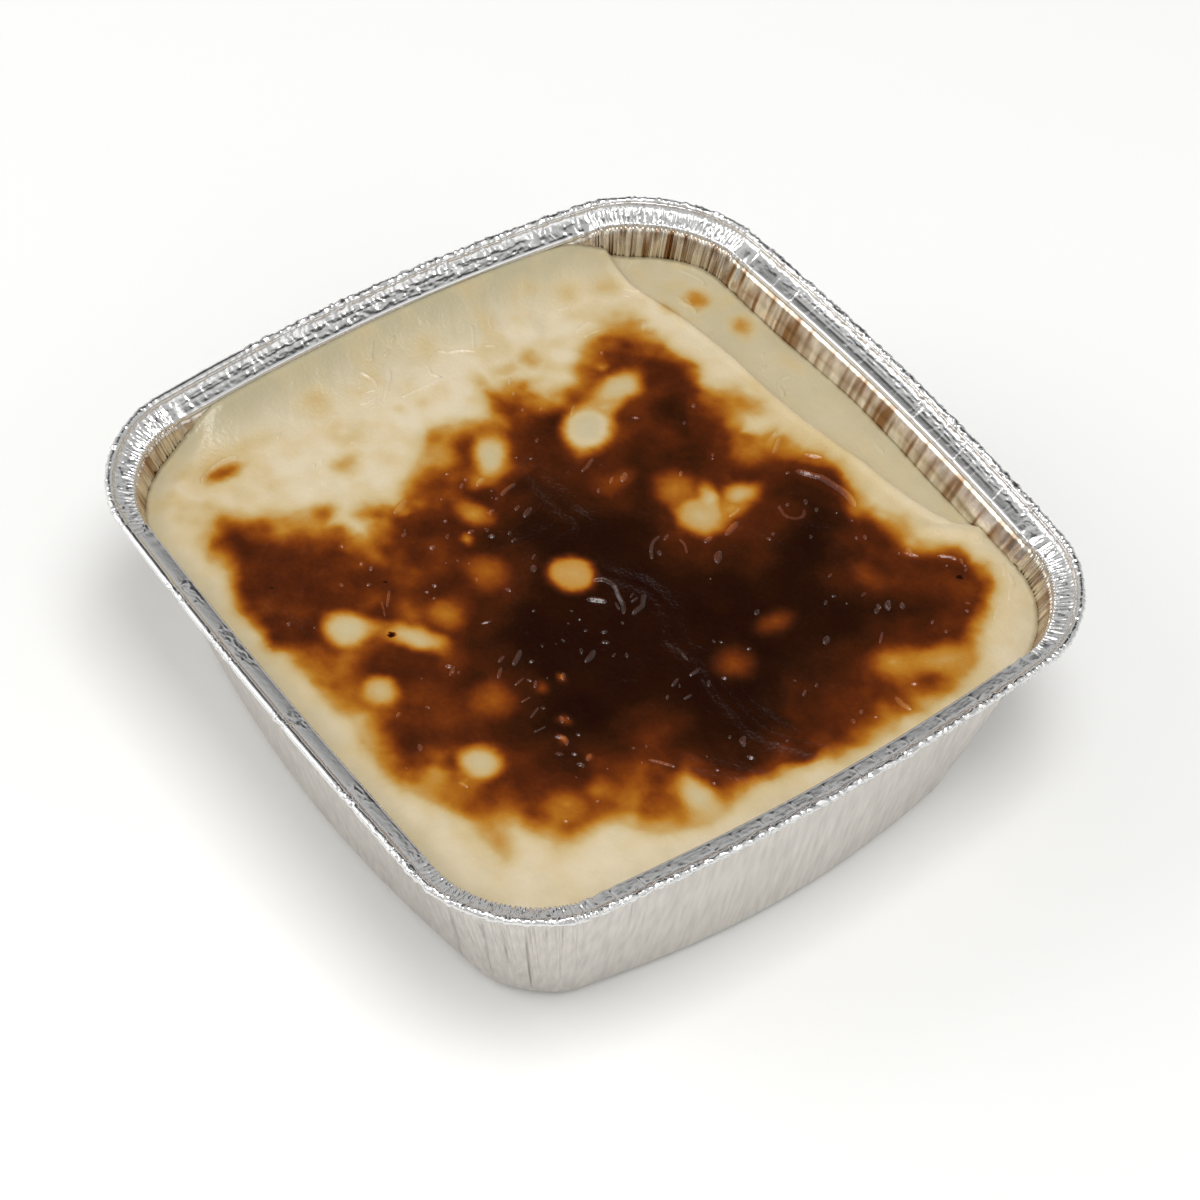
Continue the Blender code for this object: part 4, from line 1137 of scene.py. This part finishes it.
def skin_height(points, to_edge):
    """Height of the milk skin: a level with slow swells, the step and the climb up the -X wall."""
    x = points[:, 0]
    y = points[:, 1]
    height = np.full(len(points), FILL_LEVEL)
    height += SWELL_HEIGHT * np.sin(x / SWELL_LENGTH * 2 + 0.6) * np.cos(y / SWELL_LENGTH * 1.6)
    height += SWELL_HEIGHT * np.sin((x + 0.7 * y) / SWELL_LENGTH * 3 + 2.1)
    height -= STEP_FOLD_DROP * smooth(beyond_step(points) / STEP_FOLD_WIDTH)
    along = smooth((y - CLIMB_SIDE_Y[0]) / CLIMB_FADE) * smooth((CLIMB_SIDE_Y[1] - y) / CLIMB_FADE)
    near_wall = np.clip(1 - to_edge / CLIMB_WIDTH, 0, 1) ** 2
    height += CLIMB_HEIGHT * along * near_wall * (x < 0)
    return height


def skin_surface(points, to_edge):
    """skin_height with its folds, as bell curves, two layers of noise and the veil's streaks."""
    inner = smooth(to_edge / 0.003)
    relief = np.zeros(len(points))
    for width, rise, *knots in FOLDS:
        line = np.array(knots) * MM + np.array(MAP_MIDDLE)
        near = (np.abs(points - line.mean(axis=0)) < np.ptp(line, axis=0) / 2 + 0.006).all(axis=1)
        distance, side = distance_to_line(points[near], smooth_curve(line, 4))
        reach = np.where(side > 0, FOLD_LEAN, 1 / FOLD_LEAN) * width * MM
        relief[near] = np.maximum(relief[near], rise * MM * np.exp(-(distance / reach) ** 2))
    for number, (cell, amount) in enumerate(SKIN_RELIEF):
        relief += amount * rough(points, cell, 91 + 4 * number, 2)
    across, along, turn, depth = VEIL_STREAK
    cosine = np.cos(np.radians(turn))
    sine = np.sin(np.radians(turn))
    u = cosine * points[:, 0] + sine * points[:, 1]
    v = cosine * points[:, 1] - sine * points[:, 0]
    relief += depth * lattice(v / across, u / along, 97) * smooth((-0.046 - points[:, 0]) / 0.008)
    return skin_height(points, to_edge) + relief * inner


def veiling(points, to_edge):
    """How much a grey veil lies over the cream, 0 to 1.

    What stays clear is a product of shares that fall off smoothly by the walls, past the
    step and in the windows, times noise. By the walls the grey is painted shade.
    """
    x = points[:, 0]
    y = points[:, 1]
    clear = 1 - VEIL_SIDE * smooth((-0.0485 - x) / 0.014) * (1 - 0.5 * smooth((y - 0.044) / 0.012))
    clear *= 1 - VEIL_STEP * smooth((beyond_step(points) + 0.0002) / 0.0020)
    # Painted shade: the veil greys the cream along the walls, less so by the +X wall
    clear *= 1 - VEIL_WALL_SHADE * smooth(1 - to_edge / 0.0060) * (1 - 0.8 * smooth((x - 0.045) / 0.012))
    for x, y, length, width, turn, level, edge in WINDOWS:
        u, v = spot_offsets((points - MAP_MIDDLE) / MM, x, y, turn)
        clear *= 1 - VEIL_WINDOW * smooth(1.6 - np.hypot(u / length, v / width))
    clear *= 1 + 0.22 * rough(points, 0.0050, 101) + 0.10 * rough(points, 0.0014, 105, 2)
    return np.clip(1 - clear, 0, 1)


def grid_places(across, up):
    """Places on the wall for square coordinates from -1 to 1, whose diagonals lie mid-corner."""
    reach = np.maximum(np.maximum(np.abs(across), np.abs(up)), 1e-9)
    on_x = np.abs(across) >= np.abs(up)
    side = np.where(on_x, np.where(across > 0, 0, 2), np.where(up > 0, 1, 3))
    sign = np.where(on_x, np.sign(across), -np.sign(up))
    step = np.where(on_x, up, across) * sign / reach
    knots = [-1, -CORNER_REACH, CORNER_REACH, 1]
    values = [SIDE_SHARE / 2 - SIDE_SHARE, 0, SIDE_SHARE, SIDE_SHARE * 1.5]
    return side + np.interp(step, knots, values)


def set_skin_values(piece, points, to_edge, count, share=1.0):
    """Gives a piece's first `count` vertices a share of their browning, and their veil."""
    for name, values in (("browning", share * browning(points / MM - np.array(MAP_MIDDLE) / MM)),
                         ("veil", veiling(points, to_edge))):
        whole = np.zeros(len(piece.data.vertices), np.float32)
        whole[:count] = values
        piece.data.attributes.new(name, "FLOAT", "POINT").data.foreach_set("value", whole)


def pudding(settings, finish):
    """The milk skin on a square grid drawn out to the wall, and the sides below it.

    A point lies on the line from the middle to its place on the wall, at the share of that
    line which the larger of its two square coordinates gives. Its height is skin_surface.
    """
    half_count = settings.skin_steps
    lines = np.linspace(-1, 1, 2 * half_count + 1)
    across, up = [axis.ravel() for axis in np.meshgrid(lines, lines)]
    places = grid_places(across, up)
    nominal = wall_outline(places, FILL_LEVEL)
    inwards = wall_inwards(places, FILL_LEVEL)
    edge_height = np.minimum(skin_height(nominal, np.zeros(len(places))), WALL_TOP - EDGE_BELOW)
    pleats = EDGE_SLACK * corner_pleats(places, edge_height / WALL_TOP)
    stand_out = wall_push(places, edge_height) - pleats + WALL_TOUCH
    edge = wall_outline(places, edge_height) - inwards * stand_out[:, None]
    stand = wall_flare(places, edge_height) + SKIN_STAND
    plain_edge = wall_outline(places, edge_height) + inwards * stand[:, None]
    share = np.maximum(np.abs(across), np.abs(up))[:, None]
    middle = np.array(FOOT_SHIFT)
    last = share[:, 0] >= 1
    reached = np.where(last[:, None], edge, plain_edge)
    points = middle + (nominal * (1 - share) + reached * share - middle) * share
    to_edge = np.clip(wall_gap(points), 0, None)
    height = np.where(last, edge_height, skin_surface(points, to_edge))
    skin = np.column_stack([points, height])
    count = 2 * half_count + 1
    number = np.arange(count * count).reshape(count, count)
    corners = [number[:-1, :-1], number[:-1, 1:], number[1:, 1:], number[1:, :-1]]
    faces = [np.stack(corners, axis=-1).reshape(-1, 4)]
    border = np.concatenate([number[:-1, -1], number[-1, :0:-1], number[:0:-1, 0], number[0, :-1]])
    side_places = places[border]
    side_top = skin[border, 2]
    rings = []
    for step in FILL_SIDE_STEPS:
        low = side_top * (1 - step) + FILL_FOOT[0][1] * step
        stand = wall_flare(side_places, low) + SIDE_STAND
        wall = wall_outline(side_places, low) + wall_inwards(side_places, low) * stand[:, None]
        rings.append(np.column_stack([wall, low]))
    for inset, low in FILL_FOOT:
        wall = wall_outline(side_places, low) + wall_inwards(side_places, low) * inset
        rings.append(np.column_stack([wall, np.full(len(wall), low)]))
    vertices = np.concatenate([skin, *rings, [[*FOOT_SHIFT, FILL_FOOT[-1][1]]]])
    here = np.arange(len(border))
    loops = [border] + [len(skin) + row * len(border) + here for row in range(len(rings))]
    for high, low in zip(loops[:-1], loops[1:]):
        faces.append(np.stack([low, np.roll(low, -1), np.roll(high, -1), high], axis=-1))
    pole = np.full(len(border), len(vertices) - 1)
    faces.append(np.stack([pole, np.roll(loops[-1], -1), loops[-1]], axis=-1))
    piece = add_piece("milk_pudding", vertices, facing_out(vertices, faces), [finish])
    set_skin_values(piece, points, to_edge, len(points))
    return piece


def blister_lines():
    """Short lines for the blisters, strewn over the browned skin, more of them in some patches."""
    draw = np.random.default_rng(111)
    tried = draw.uniform((-46, -58), (60, 58), (6 * BLISTERS, 2))
    brown = browning(tried)
    crowd = rough(tried, 9.0, 113)
    kept = tried[(brown > 0.45) & (draw.uniform(0, 0.9, len(tried)) < 1.7 * crowd)][:BLISTERS]
    radii = draw.uniform(*BLISTER_RADII, len(kept)) * draw.uniform(0.7, 1.0, len(kept))
    heights = draw.uniform(*BLISTER_HEIGHTS, len(kept))
    turns = draw.uniform(0, np.pi, len(kept))
    ahead = np.column_stack([np.cos(turns), np.sin(turns)])
    reach = (radii * draw.uniform(0.6, 1.3, len(kept)))[:, None] * ahead
    return [(radius, min(height, 0.6 * radius), tuple(low), tuple(high))
            for radius, height, low, high in zip(radii, heights, kept - reach, kept + reach)]


def skin_wrinkles(settings, finish):
    """Threads, wrinkles and blisters that stand on the milk skin, each a closed sliver.

    Each is a raised cosine carried along a smooth line, narrowing to round ends. Its borders
    and its flat underside lie just below the skin, so it grows out of it.
    """
    draw = np.random.default_rng(121)
    turn = np.linspace(-1, 1, 2 * WRINKLE_ACROSS + 1)
    sides = np.concatenate([turn, [0.6, -0.6]])
    lift = np.concatenate([smooth(1 - np.abs(turn)), [0, 0]])
    drop = np.concatenate([np.full(len(turn), WRINKLE_SINK), [0.25, 0.25]])
    flat = []
    rise = []
    pale = []
    faces = []
    total = 0
    for width, height, *knots in (*WRINKLES, *blister_lines()):
        width *= WRINKLE_GAIN[0]
        height *= WRINKLE_GAIN[1]
        line = smooth_curve(knots, 8)
        run = np.concatenate([[0], np.cumsum(np.linalg.norm(np.diff(line, axis=0), axis=1))])
        count = max(6, int(run[-1] / WRINKLE_STEP))
        at = run[-1] * (0.5 - 0.5 * np.cos(np.pi * np.linspace(0.04, 0.96, count)))
        points = np.column_stack([np.interp(at, run, line[:, 0]), np.interp(at, run, line[:, 1])])
        ahead = np.gradient(points, axis=0)
        ahead /= np.linalg.norm(ahead, axis=1, keepdims=True)
        left = np.column_stack([-ahead[:, 1], ahead[:, 0]])
        ends = np.clip(np.minimum(at, run[-1] - at) / (1.8 * width), 0, 1)
        taper = np.sqrt(np.clip(1 - (1 - ends) ** 2, 0.003, 1))
        uneven = 1 + 0.25 * lattice(at / 1.7, 0 * at + total * 0.37, 123)
        lean = -WRINKLE_CREST * draw.uniform(0.7, 1.2) * np.sign(left @ GLINT_SIDE)[:, None]
        across = width * taper[:, None] * (sides + lean * (1 - sides ** 2))
        flat.append((points[:, None] + left[:, None] * across[..., None]).reshape(-1, 2))
        rise.append((height * (taper * uneven)[:, None] * lift - drop).ravel())
        # Paler crests: thinner skin, and a painted pinkish glint
        pale.append((WRINKLE_PALE_AND_GLINT * taper[:, None] * lift).ravel())
        size = len(sides)
        faces.append(strip_faces(count, size, total))
        first = total + np.arange(size)
        faces += [first[None, ::-1], (first + (count - 1) * size)[None]]
        total += count * size
    points = np.concatenate(flat) * MM + np.array(MAP_MIDDLE)
    to_edge = np.clip(wall_gap(points), 0, None)
    heights = skin_surface(points, to_edge) + np.concatenate(rise) * MM
    vertices = np.column_stack([points, heights])
    quads = np.concatenate([part for part in faces if part.shape[1] == 4])
    caps = np.concatenate([part for part in faces if part.shape[1] != 4])
    piece = add_piece("skin_wrinkles", vertices, facing_out(vertices, [quads, caps]), [finish])
    set_skin_values(piece, points, to_edge, len(points), 1 - np.concatenate(pale))
    return piece


def add_node(tree, kind, links=None, values=None, **settings):
    """Adds one node: settings name its properties, values its inputs and links their sources.

    An input is given by its name, or by its number where several have the same name.
    """
    node = tree.nodes.new(kind)
    for name, value in settings.items():
        setattr(node, name, value)
    for name, value in (values or {}).items():
        node.inputs[name].default_value = value
    for name, source in (links or {}).items():
        tree.links.new(source, node.inputs[name])
    return node


def new_material(name):
    """An empty node material, and its tree, Principled shader and Object coordinates."""
    made = bpy.data.materials.new(name)
    made.use_nodes = True
    tree = made.node_tree
    shader = tree.nodes["Principled BSDF"]
    coordinates = add_node(tree, "ShaderNodeTexCoord").outputs["Object"]
    return made, tree, shader, coordinates


def foil_material(colour, film_and_reflection, name, roughness, grain, streaks):
    """Aluminium foil, cold rolled and pressed: metal with a soft, slightly uneven gloss.

    The matte side and the inside of the wall have upright streaks where the press drew them.
    Inside, above the pudding, brown streaks from a point attribute stand for dried milk and
    paint the browned skin's reflection in the wall.
    """
    made, tree, shader, place = new_material(name)
    shader.inputs["Metallic"].default_value = 1.0
    stretch = add_node(tree, "ShaderNodeMapping", {"Vector": place},
                       {"Scale": (1 / 0.0011, 1 / 0.0011, 1 / 0.016)})
    drawn = add_node(tree, "ShaderNodeTexNoise", {"Vector": stretch.outputs["Vector"]},
                     {"Scale": 1.0, "Detail": 2.0})
    shade = add_node(tree, "ShaderNodeMapRange", {"Value": drawn.outputs["Fac"]},
                     {"From Min": 0.3, "From Max": 0.7, "To Min": 0.5 - streaks, "To Max": 0.5 + streaks})
    darker = (*(0.6 * channel for channel in colour[:3]), 1)
    lighter = (*(min(1.4 * channel, 1) for channel in colour[:3]), 1)
    tone = add_node(tree, "ShaderNodeMix", {0: shade.outputs["Result"]}, {6: darker, 7: lighter},
                    data_type="RGBA")
    # Brown streaks inside the wall: dried milk and painted reflection of the browned skin
    milk = add_node(tree, "ShaderNodeAttribute", attribute_name="film_and_reflection").outputs["Fac"]
    reflection_tinted = add_node(tree, "ShaderNodeMix", {0: milk, 6: tone.outputs[2]}, {7: film_and_reflection}, data_type="RGBA")
    tree.links.new(reflection_tinted.outputs[2], shader.inputs["Base Color"])
    smears = add_node(tree, "ShaderNodeTexNoise", {"Vector": place}, {"Scale": 1 / 0.006, "Detail": 4.0})
    gloss = add_node(tree, "ShaderNodeMapRange", {"Value": smears.outputs["Fac"]},
                     {"From Min": 0.3, "From Max": 0.7, "To Min": roughness * 0.85,
                      "To Max": roughness * 1.15})
    tree.links.new(gloss.outputs["Result"], shader.inputs["Roughness"])
    rolled = add_node(tree, "ShaderNodeTexNoise", {"Vector": place}, {"Scale": 1 / 0.0011, "Detail": 3.0})
    bump = add_node(tree, "ShaderNodeBump", {"Height": rolled.outputs["Fac"]},
                    {"Strength": grain, "Distance": 0.0002})
    tree.links.new(bump.outputs["Normal"], shader.inputs["Normal"])
    return made


def skin_material():
    """Milk skin, set and browned in the oven: moist, glossy, and caramel where it scorched."""
    made, tree, shader, place = new_material("browned milk skin")
    brown = add_node(tree, "ShaderNodeAttribute", attribute_name="browning").outputs["Fac"]
    veil = add_node(tree, "ShaderNodeAttribute", attribute_name="veil").outputs["Fac"]
    grain = add_node(tree, "ShaderNodeTexNoise", {"Vector": place}, {"Scale": 1 / 0.0010, "Detail": 4.0})
    shift = add_node(tree, "ShaderNodeMapRange", {"Value": grain.outputs["Fac"]},
                     {"From Min": 0.3, "From Max": 0.7, "To Min": 0.97, "To Max": 1.03})
    uneven = add_node(tree, "ShaderNodeMath", {0: brown, 1: shift.outputs["Result"]}, operation="MULTIPLY")
    ramp = add_node(tree, "ShaderNodeValToRGB", {"Fac": uneven.outputs["Value"]})
    stops = ramp.color_ramp.elements
    stops[1].position = 1.0
    stops[0].color = linear(SKIN_COLOURS[0][1])
    stops[1].color = linear(SKIN_COLOURS[-1][1])
    for position, code in SKIN_COLOURS[1:-1]:
        stops.new(position).color = linear(code)
    cloud = add_node(tree, "ShaderNodeTexNoise", {"Vector": place}, {"Scale": 1 / 0.0090, "Detail": 3.0})
    rosy = add_node(tree, "ShaderNodeMapRange", {"Value": cloud.outputs["Fac"]},
                    {"From Min": 0.42, "From Max": 0.68, "To Min": 0.0, "To Max": 0.35})
    pale = add_node(tree, "ShaderNodeMapRange", {"Value": brown},
                    {"From Min": 0.02, "From Max": 0.22, "To Min": 1.0, "To Max": 0.0})
    share = add_node(tree, "ShaderNodeMath", {0: rosy.outputs["Result"], 1: pale.outputs["Result"]},
                     operation="MULTIPLY")
    cream = add_node(tree, "ShaderNodeMix", {0: share.outputs["Value"], 6: ramp.outputs["Color"]},
                     {7: linear(ROSY_CREAM)}, data_type="RGBA")
    # The veil's grey over the cream, which along the walls is painted shade
    cover = add_node(tree, "ShaderNodeMath", {0: veil, 1: pale.outputs["Result"]}, operation="MULTIPLY")
    veiled = add_node(tree, "ShaderNodeMix", {0: cover.outputs["Value"], 6: cream.outputs[2]},
                      {7: linear(VEIL_AND_SHADE_COLOUR)}, data_type="RGBA")
    tree.links.new(veiled.outputs[2], shader.inputs["Base Color"])
    gloss = add_node(tree, "ShaderNodeMapRange", {"Value": brown},
                     {"From Min": 0.1, "From Max": 0.6, "To Min": 0.30, "To Max": 0.19})
    tree.links.new(gloss.outputs["Result"], shader.inputs["Roughness"])
    blisters = add_node(tree, "ShaderNodeTexNoise", {"Vector": place}, {"Scale": 1 / 0.0008, "Detail": 2.0})
    bump = add_node(tree, "ShaderNodeBump", {"Height": blisters.outputs["Fac"]},
                    {"Strength": 0.35, "Distance": 0.0003})
    tree.links.new(bump.outputs["Normal"], shader.inputs["Normal"])
    return made


class FoilTrayProps(bpy.types.PropertyGroup):
    thickness: FloatProperty(name="Thickness", description="Thickness of the foil", default=0.00016,
                             min=0.00005, max=0.0004, unit="LENGTH", subtype="DISTANCE")
    stations: IntProperty(name="Stations", description="Points round the tray", default=2300)
    corner_density: FloatProperty(name="Corner density", default=1.6,
                                  description="How much closer the points stand at the corners")
    bead_rings: IntProperty(name="Bead rings", description="Points round the bead's section", default=15)
    colour: FloatVectorProperty(name="Foil", description="Colour of the bright side", size=4,
                                subtype="COLOR", default=linear("EEEDEA"))
    # Darker, warmer than the bright side: painted shade and painted warm reflection of the pudding
    inside: FloatVectorProperty(name="Foil inside", description="Colour of the walls' inside", size=4,
                                subtype="COLOR", default=linear("DCD4C6"))
    # Colour of the brown streaks inside the wall: dried milk and painted reflection of the skin
    film_and_reflection: FloatVectorProperty(name="Dried milk and painted reflection", description="Colour of the film of dried milk", size=4,
                              subtype="COLOR", default=linear("8A6744"))
    outside: FloatVectorProperty(name="Foil outside", description="Colour of the matte side", size=4,
                                 subtype="COLOR", default=linear("D3CEC8"))


class PuddingProps(bpy.types.PropertyGroup):
    skin_steps: IntProperty(name="Skin steps", default=148,
                            description="Grid steps from the middle of the skin to its edge")


class StudioProps(bpy.types.PropertyGroup):
    floor: FloatVectorProperty(name="Floor", description="Colour of the floor", size=4, subtype="COLOR",
                               default=linear("F8F8F6"))
    around: FloatProperty(name="Surroundings", default=0.575,
                          description="Brightness of the room round the tray")
    azimuth: FloatProperty(name="Camera azimuth", default=48.40,
                           description="Turn of the camera round the tray, in degrees")
    elevation: FloatProperty(name="Camera elevation", default=49.40,
                             description="Height of the camera above the horizon, in degrees")
    roll: FloatProperty(name="Camera roll", description="Tilt of the camera, in degrees", default=6.85)
    distance: FloatProperty(name="Camera distance", description="Distance from the tray's foot",
                            default=0.6636, unit="LENGTH", subtype="DISTANCE")
    lens: FloatProperty(name="Lens", default=108.76,
                        description="Focal length in millimetres on a 36 mm frame")


class OBJECT_OT_foil_tray(bpy.types.Operator):
    """Build the foil tray: its base and walls, the ledge of its rim, and the bead"""
    bl_idname = "object.foil_meal_tray"
    bl_label = "Foil tray"

    def execute(self, context):
        settings = context.scene.foil_meal_tray
        bright = foil_material(settings.colour, settings.film_and_reflection, *BRIGHT_SIDE)
        matte = foil_material(settings.outside, settings.film_and_reflection, *MATTE_SIDE)
        # The drawn wall's colour holds painted shade and a painted warm reflection of the pudding
        drawn = foil_material(settings.inside, settings.film_and_reflection, *DRAWN_WALL)
        upper, lower, ledge = rim_surfaces(settings)
        pieces = [foil_walls(settings, [drawn, matte]),
                  rim_piece("foil_ledge", upper[:ledge], lower[:ledge], bright),
                  rim_piece("foil_bead", upper[ledge - 1:], lower[ledge - 1:], bright)]
        for piece in pieces:
            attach(piece, "root")
            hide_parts("foil_tray")
        return {"FINISHED"}


class OBJECT_OT_pudding(bpy.types.Operator):
    """Build the milk pudding with its browned skin, and the wrinkles of the skin"""
    bl_idname = "object.foil_meal_pudding"
    bl_label = "Milk pudding"

    def execute(self, context):
        settings = context.scene.foil_meal_pudding
        finish = skin_material()
        for piece in (pudding(settings, finish), skin_wrinkles(settings, finish)):
            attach(piece, "root")
            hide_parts("pudding")
        return {"FINISHED"}


def camera_axes(settings):
    """Right, up and back of a camera that looks down at the tray, rolled about its own axis."""
    turn, rise, roll = np.radians([settings.azimuth, settings.elevation, settings.roll])
    back = np.array([np.sin(turn) * np.cos(rise), -np.cos(turn) * np.cos(rise), np.sin(rise)])
    right = np.array([np.cos(turn), np.sin(turn), 0.0])
    up = np.cross(back, right)
    return right * np.cos(roll) + up * np.sin(roll), up * np.cos(roll) - right * np.sin(roll), back


def studio_room(strength):
    """An even pale room with one soft dark patch, where a dark board keeps glare off the skin."""
    world = bpy.data.worlds.new("studio")
    world.use_nodes = True
    tree = world.node_tree
    ahead = add_node(tree, "ShaderNodeTexCoord").outputs["Generated"]
    towards = add_node(tree, "ShaderNodeVectorMath", {0: ahead}, {1: DARK_BOARD}, operation="DOT_PRODUCT")
    shade = add_node(tree, "ShaderNodeMapRange", {"Value": towards.outputs["Value"]},
                     {"From Min": DARK_BOARD_EDGE[0], "From Max": DARK_BOARD_EDGE[1],
                      "To Min": strength, "To Max": DARK_BOARD_GLOW},
                     interpolation_type="SMOOTHSTEP")
    background = tree.nodes["Background"]
    background.inputs["Color"].default_value = (1, 1, 1, 1)
    tree.links.new(shade.outputs["Result"], background.inputs["Strength"])
    return world


def stand(item, at, right, up, back):
    """Places a light or the camera at a point, facing away from its back."""
    turned = Matrix(np.column_stack([right, up, back]).tolist()).to_4x4()
    item.matrix_world = Matrix.Translation(at) @ turned


class OBJECT_OT_studio(bpy.types.Operator):
    """Set the floor, the lights and the camera"""
    bl_idname = "object.foil_meal_studio"
    bl_label = "Studio"

    def execute(self, context):
        settings = context.scene.foil_meal_studio
        scene = context.scene
        corners = FLOOR_HALF * np.array([[-1, -1, 0], [1, -1, 0], [1, 1, 0], [-1, 1, 0]])
        # Uncoated paper is matt: an even pale floor that takes soft shadows
        made, tree, shader, place = new_material("plain paper sweep")
        shader.inputs["Base Color"].default_value = settings.floor
        shader.inputs["Roughness"].default_value = 0.9
        floor = add_piece("floor", corners, [np.array([[0, 1, 2, 3]])], [made])
        for name, at, width, power in LIGHTS:
            lamp = bpy.data.lights.new(name, "AREA")
            lamp.shape = "SQUARE"
            lamp.size = width
            lamp.energy = power
            light = bpy.data.objects.new(name, lamp)
            scene.collection.objects.link(light)
            aim = np.array(at) / np.linalg.norm(at)
            side = np.cross((0, 1, 0), aim)
            side /= np.linalg.norm(side)
            stand(light, at, side, np.cross(aim, side), aim)
        scene.world = studio_room(settings.around)
        right, up, back = camera_axes(settings)
        lens = bpy.data.cameras.new("camera")
        lens.sensor_width = 36.0
        lens.lens = settings.lens
        lens.clip_start = 0.01
        camera = bpy.data.objects.new("camera", lens)
        scene.collection.objects.link(camera)
        at = np.array(CAMERA_BASE) + back * settings.distance
        at = at + right * CAMERA_SHIFT[0] + up * CAMERA_SHIFT[1]
        stand(camera, at, right, up, back)
        scene.camera = camera
        scene.view_settings.view_transform = "Standard"
        return {"FINISHED"}


class VIEW3D_PT_foil_meal(bpy.types.Panel):
    """Sizes and steps of the foil tray meal"""
    bl_idname = "VIEW3D_PT_foil_meal"
    bl_label = "Foil tray meal"
    bl_space_type = "VIEW_3D"
    bl_region_type = "UI"
    bl_category = "Foil tray meal"

    def draw(self, context):
        scene = context.scene
        groups = ((scene.foil_meal_tray, OBJECT_OT_foil_tray), (scene.foil_meal_pudding, OBJECT_OT_pudding),
                  (scene.foil_meal_studio, OBJECT_OT_studio))
        for settings, operator in groups:
            for name in settings.__annotations__:
                self.layout.prop(settings, name)
            self.layout.operator(operator.bl_idname)


CLASSES = (FoilTrayProps, PuddingProps, StudioProps, OBJECT_OT_foil_tray, OBJECT_OT_pudding,
           OBJECT_OT_studio, VIEW3D_PT_foil_meal)


def register():
    """Registers the classes and puts their settings on the scene."""
    for each in CLASSES:
        bpy.utils.register_class(each)
    bpy.types.Scene.foil_meal_tray = PointerProperty(type=FoilTrayProps)
    bpy.types.Scene.foil_meal_pudding = PointerProperty(type=PuddingProps)
    bpy.types.Scene.foil_meal_studio = PointerProperty(type=StudioProps)


def unregister():
    """Takes the settings and the classes away again."""
    del bpy.types.Scene.foil_meal_studio
    del bpy.types.Scene.foil_meal_pudding
    del bpy.types.Scene.foil_meal_tray
    for each in reversed(CLASSES):
        bpy.utils.unregister_class(each)


def main():
    """Registers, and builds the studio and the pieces."""
    register()
    bpy.ops.object.foil_meal_studio()
    bpy.ops.object.foil_meal_tray()
    bpy.ops.object.foil_meal_pudding()


if __name__ == "__main__":
    main()
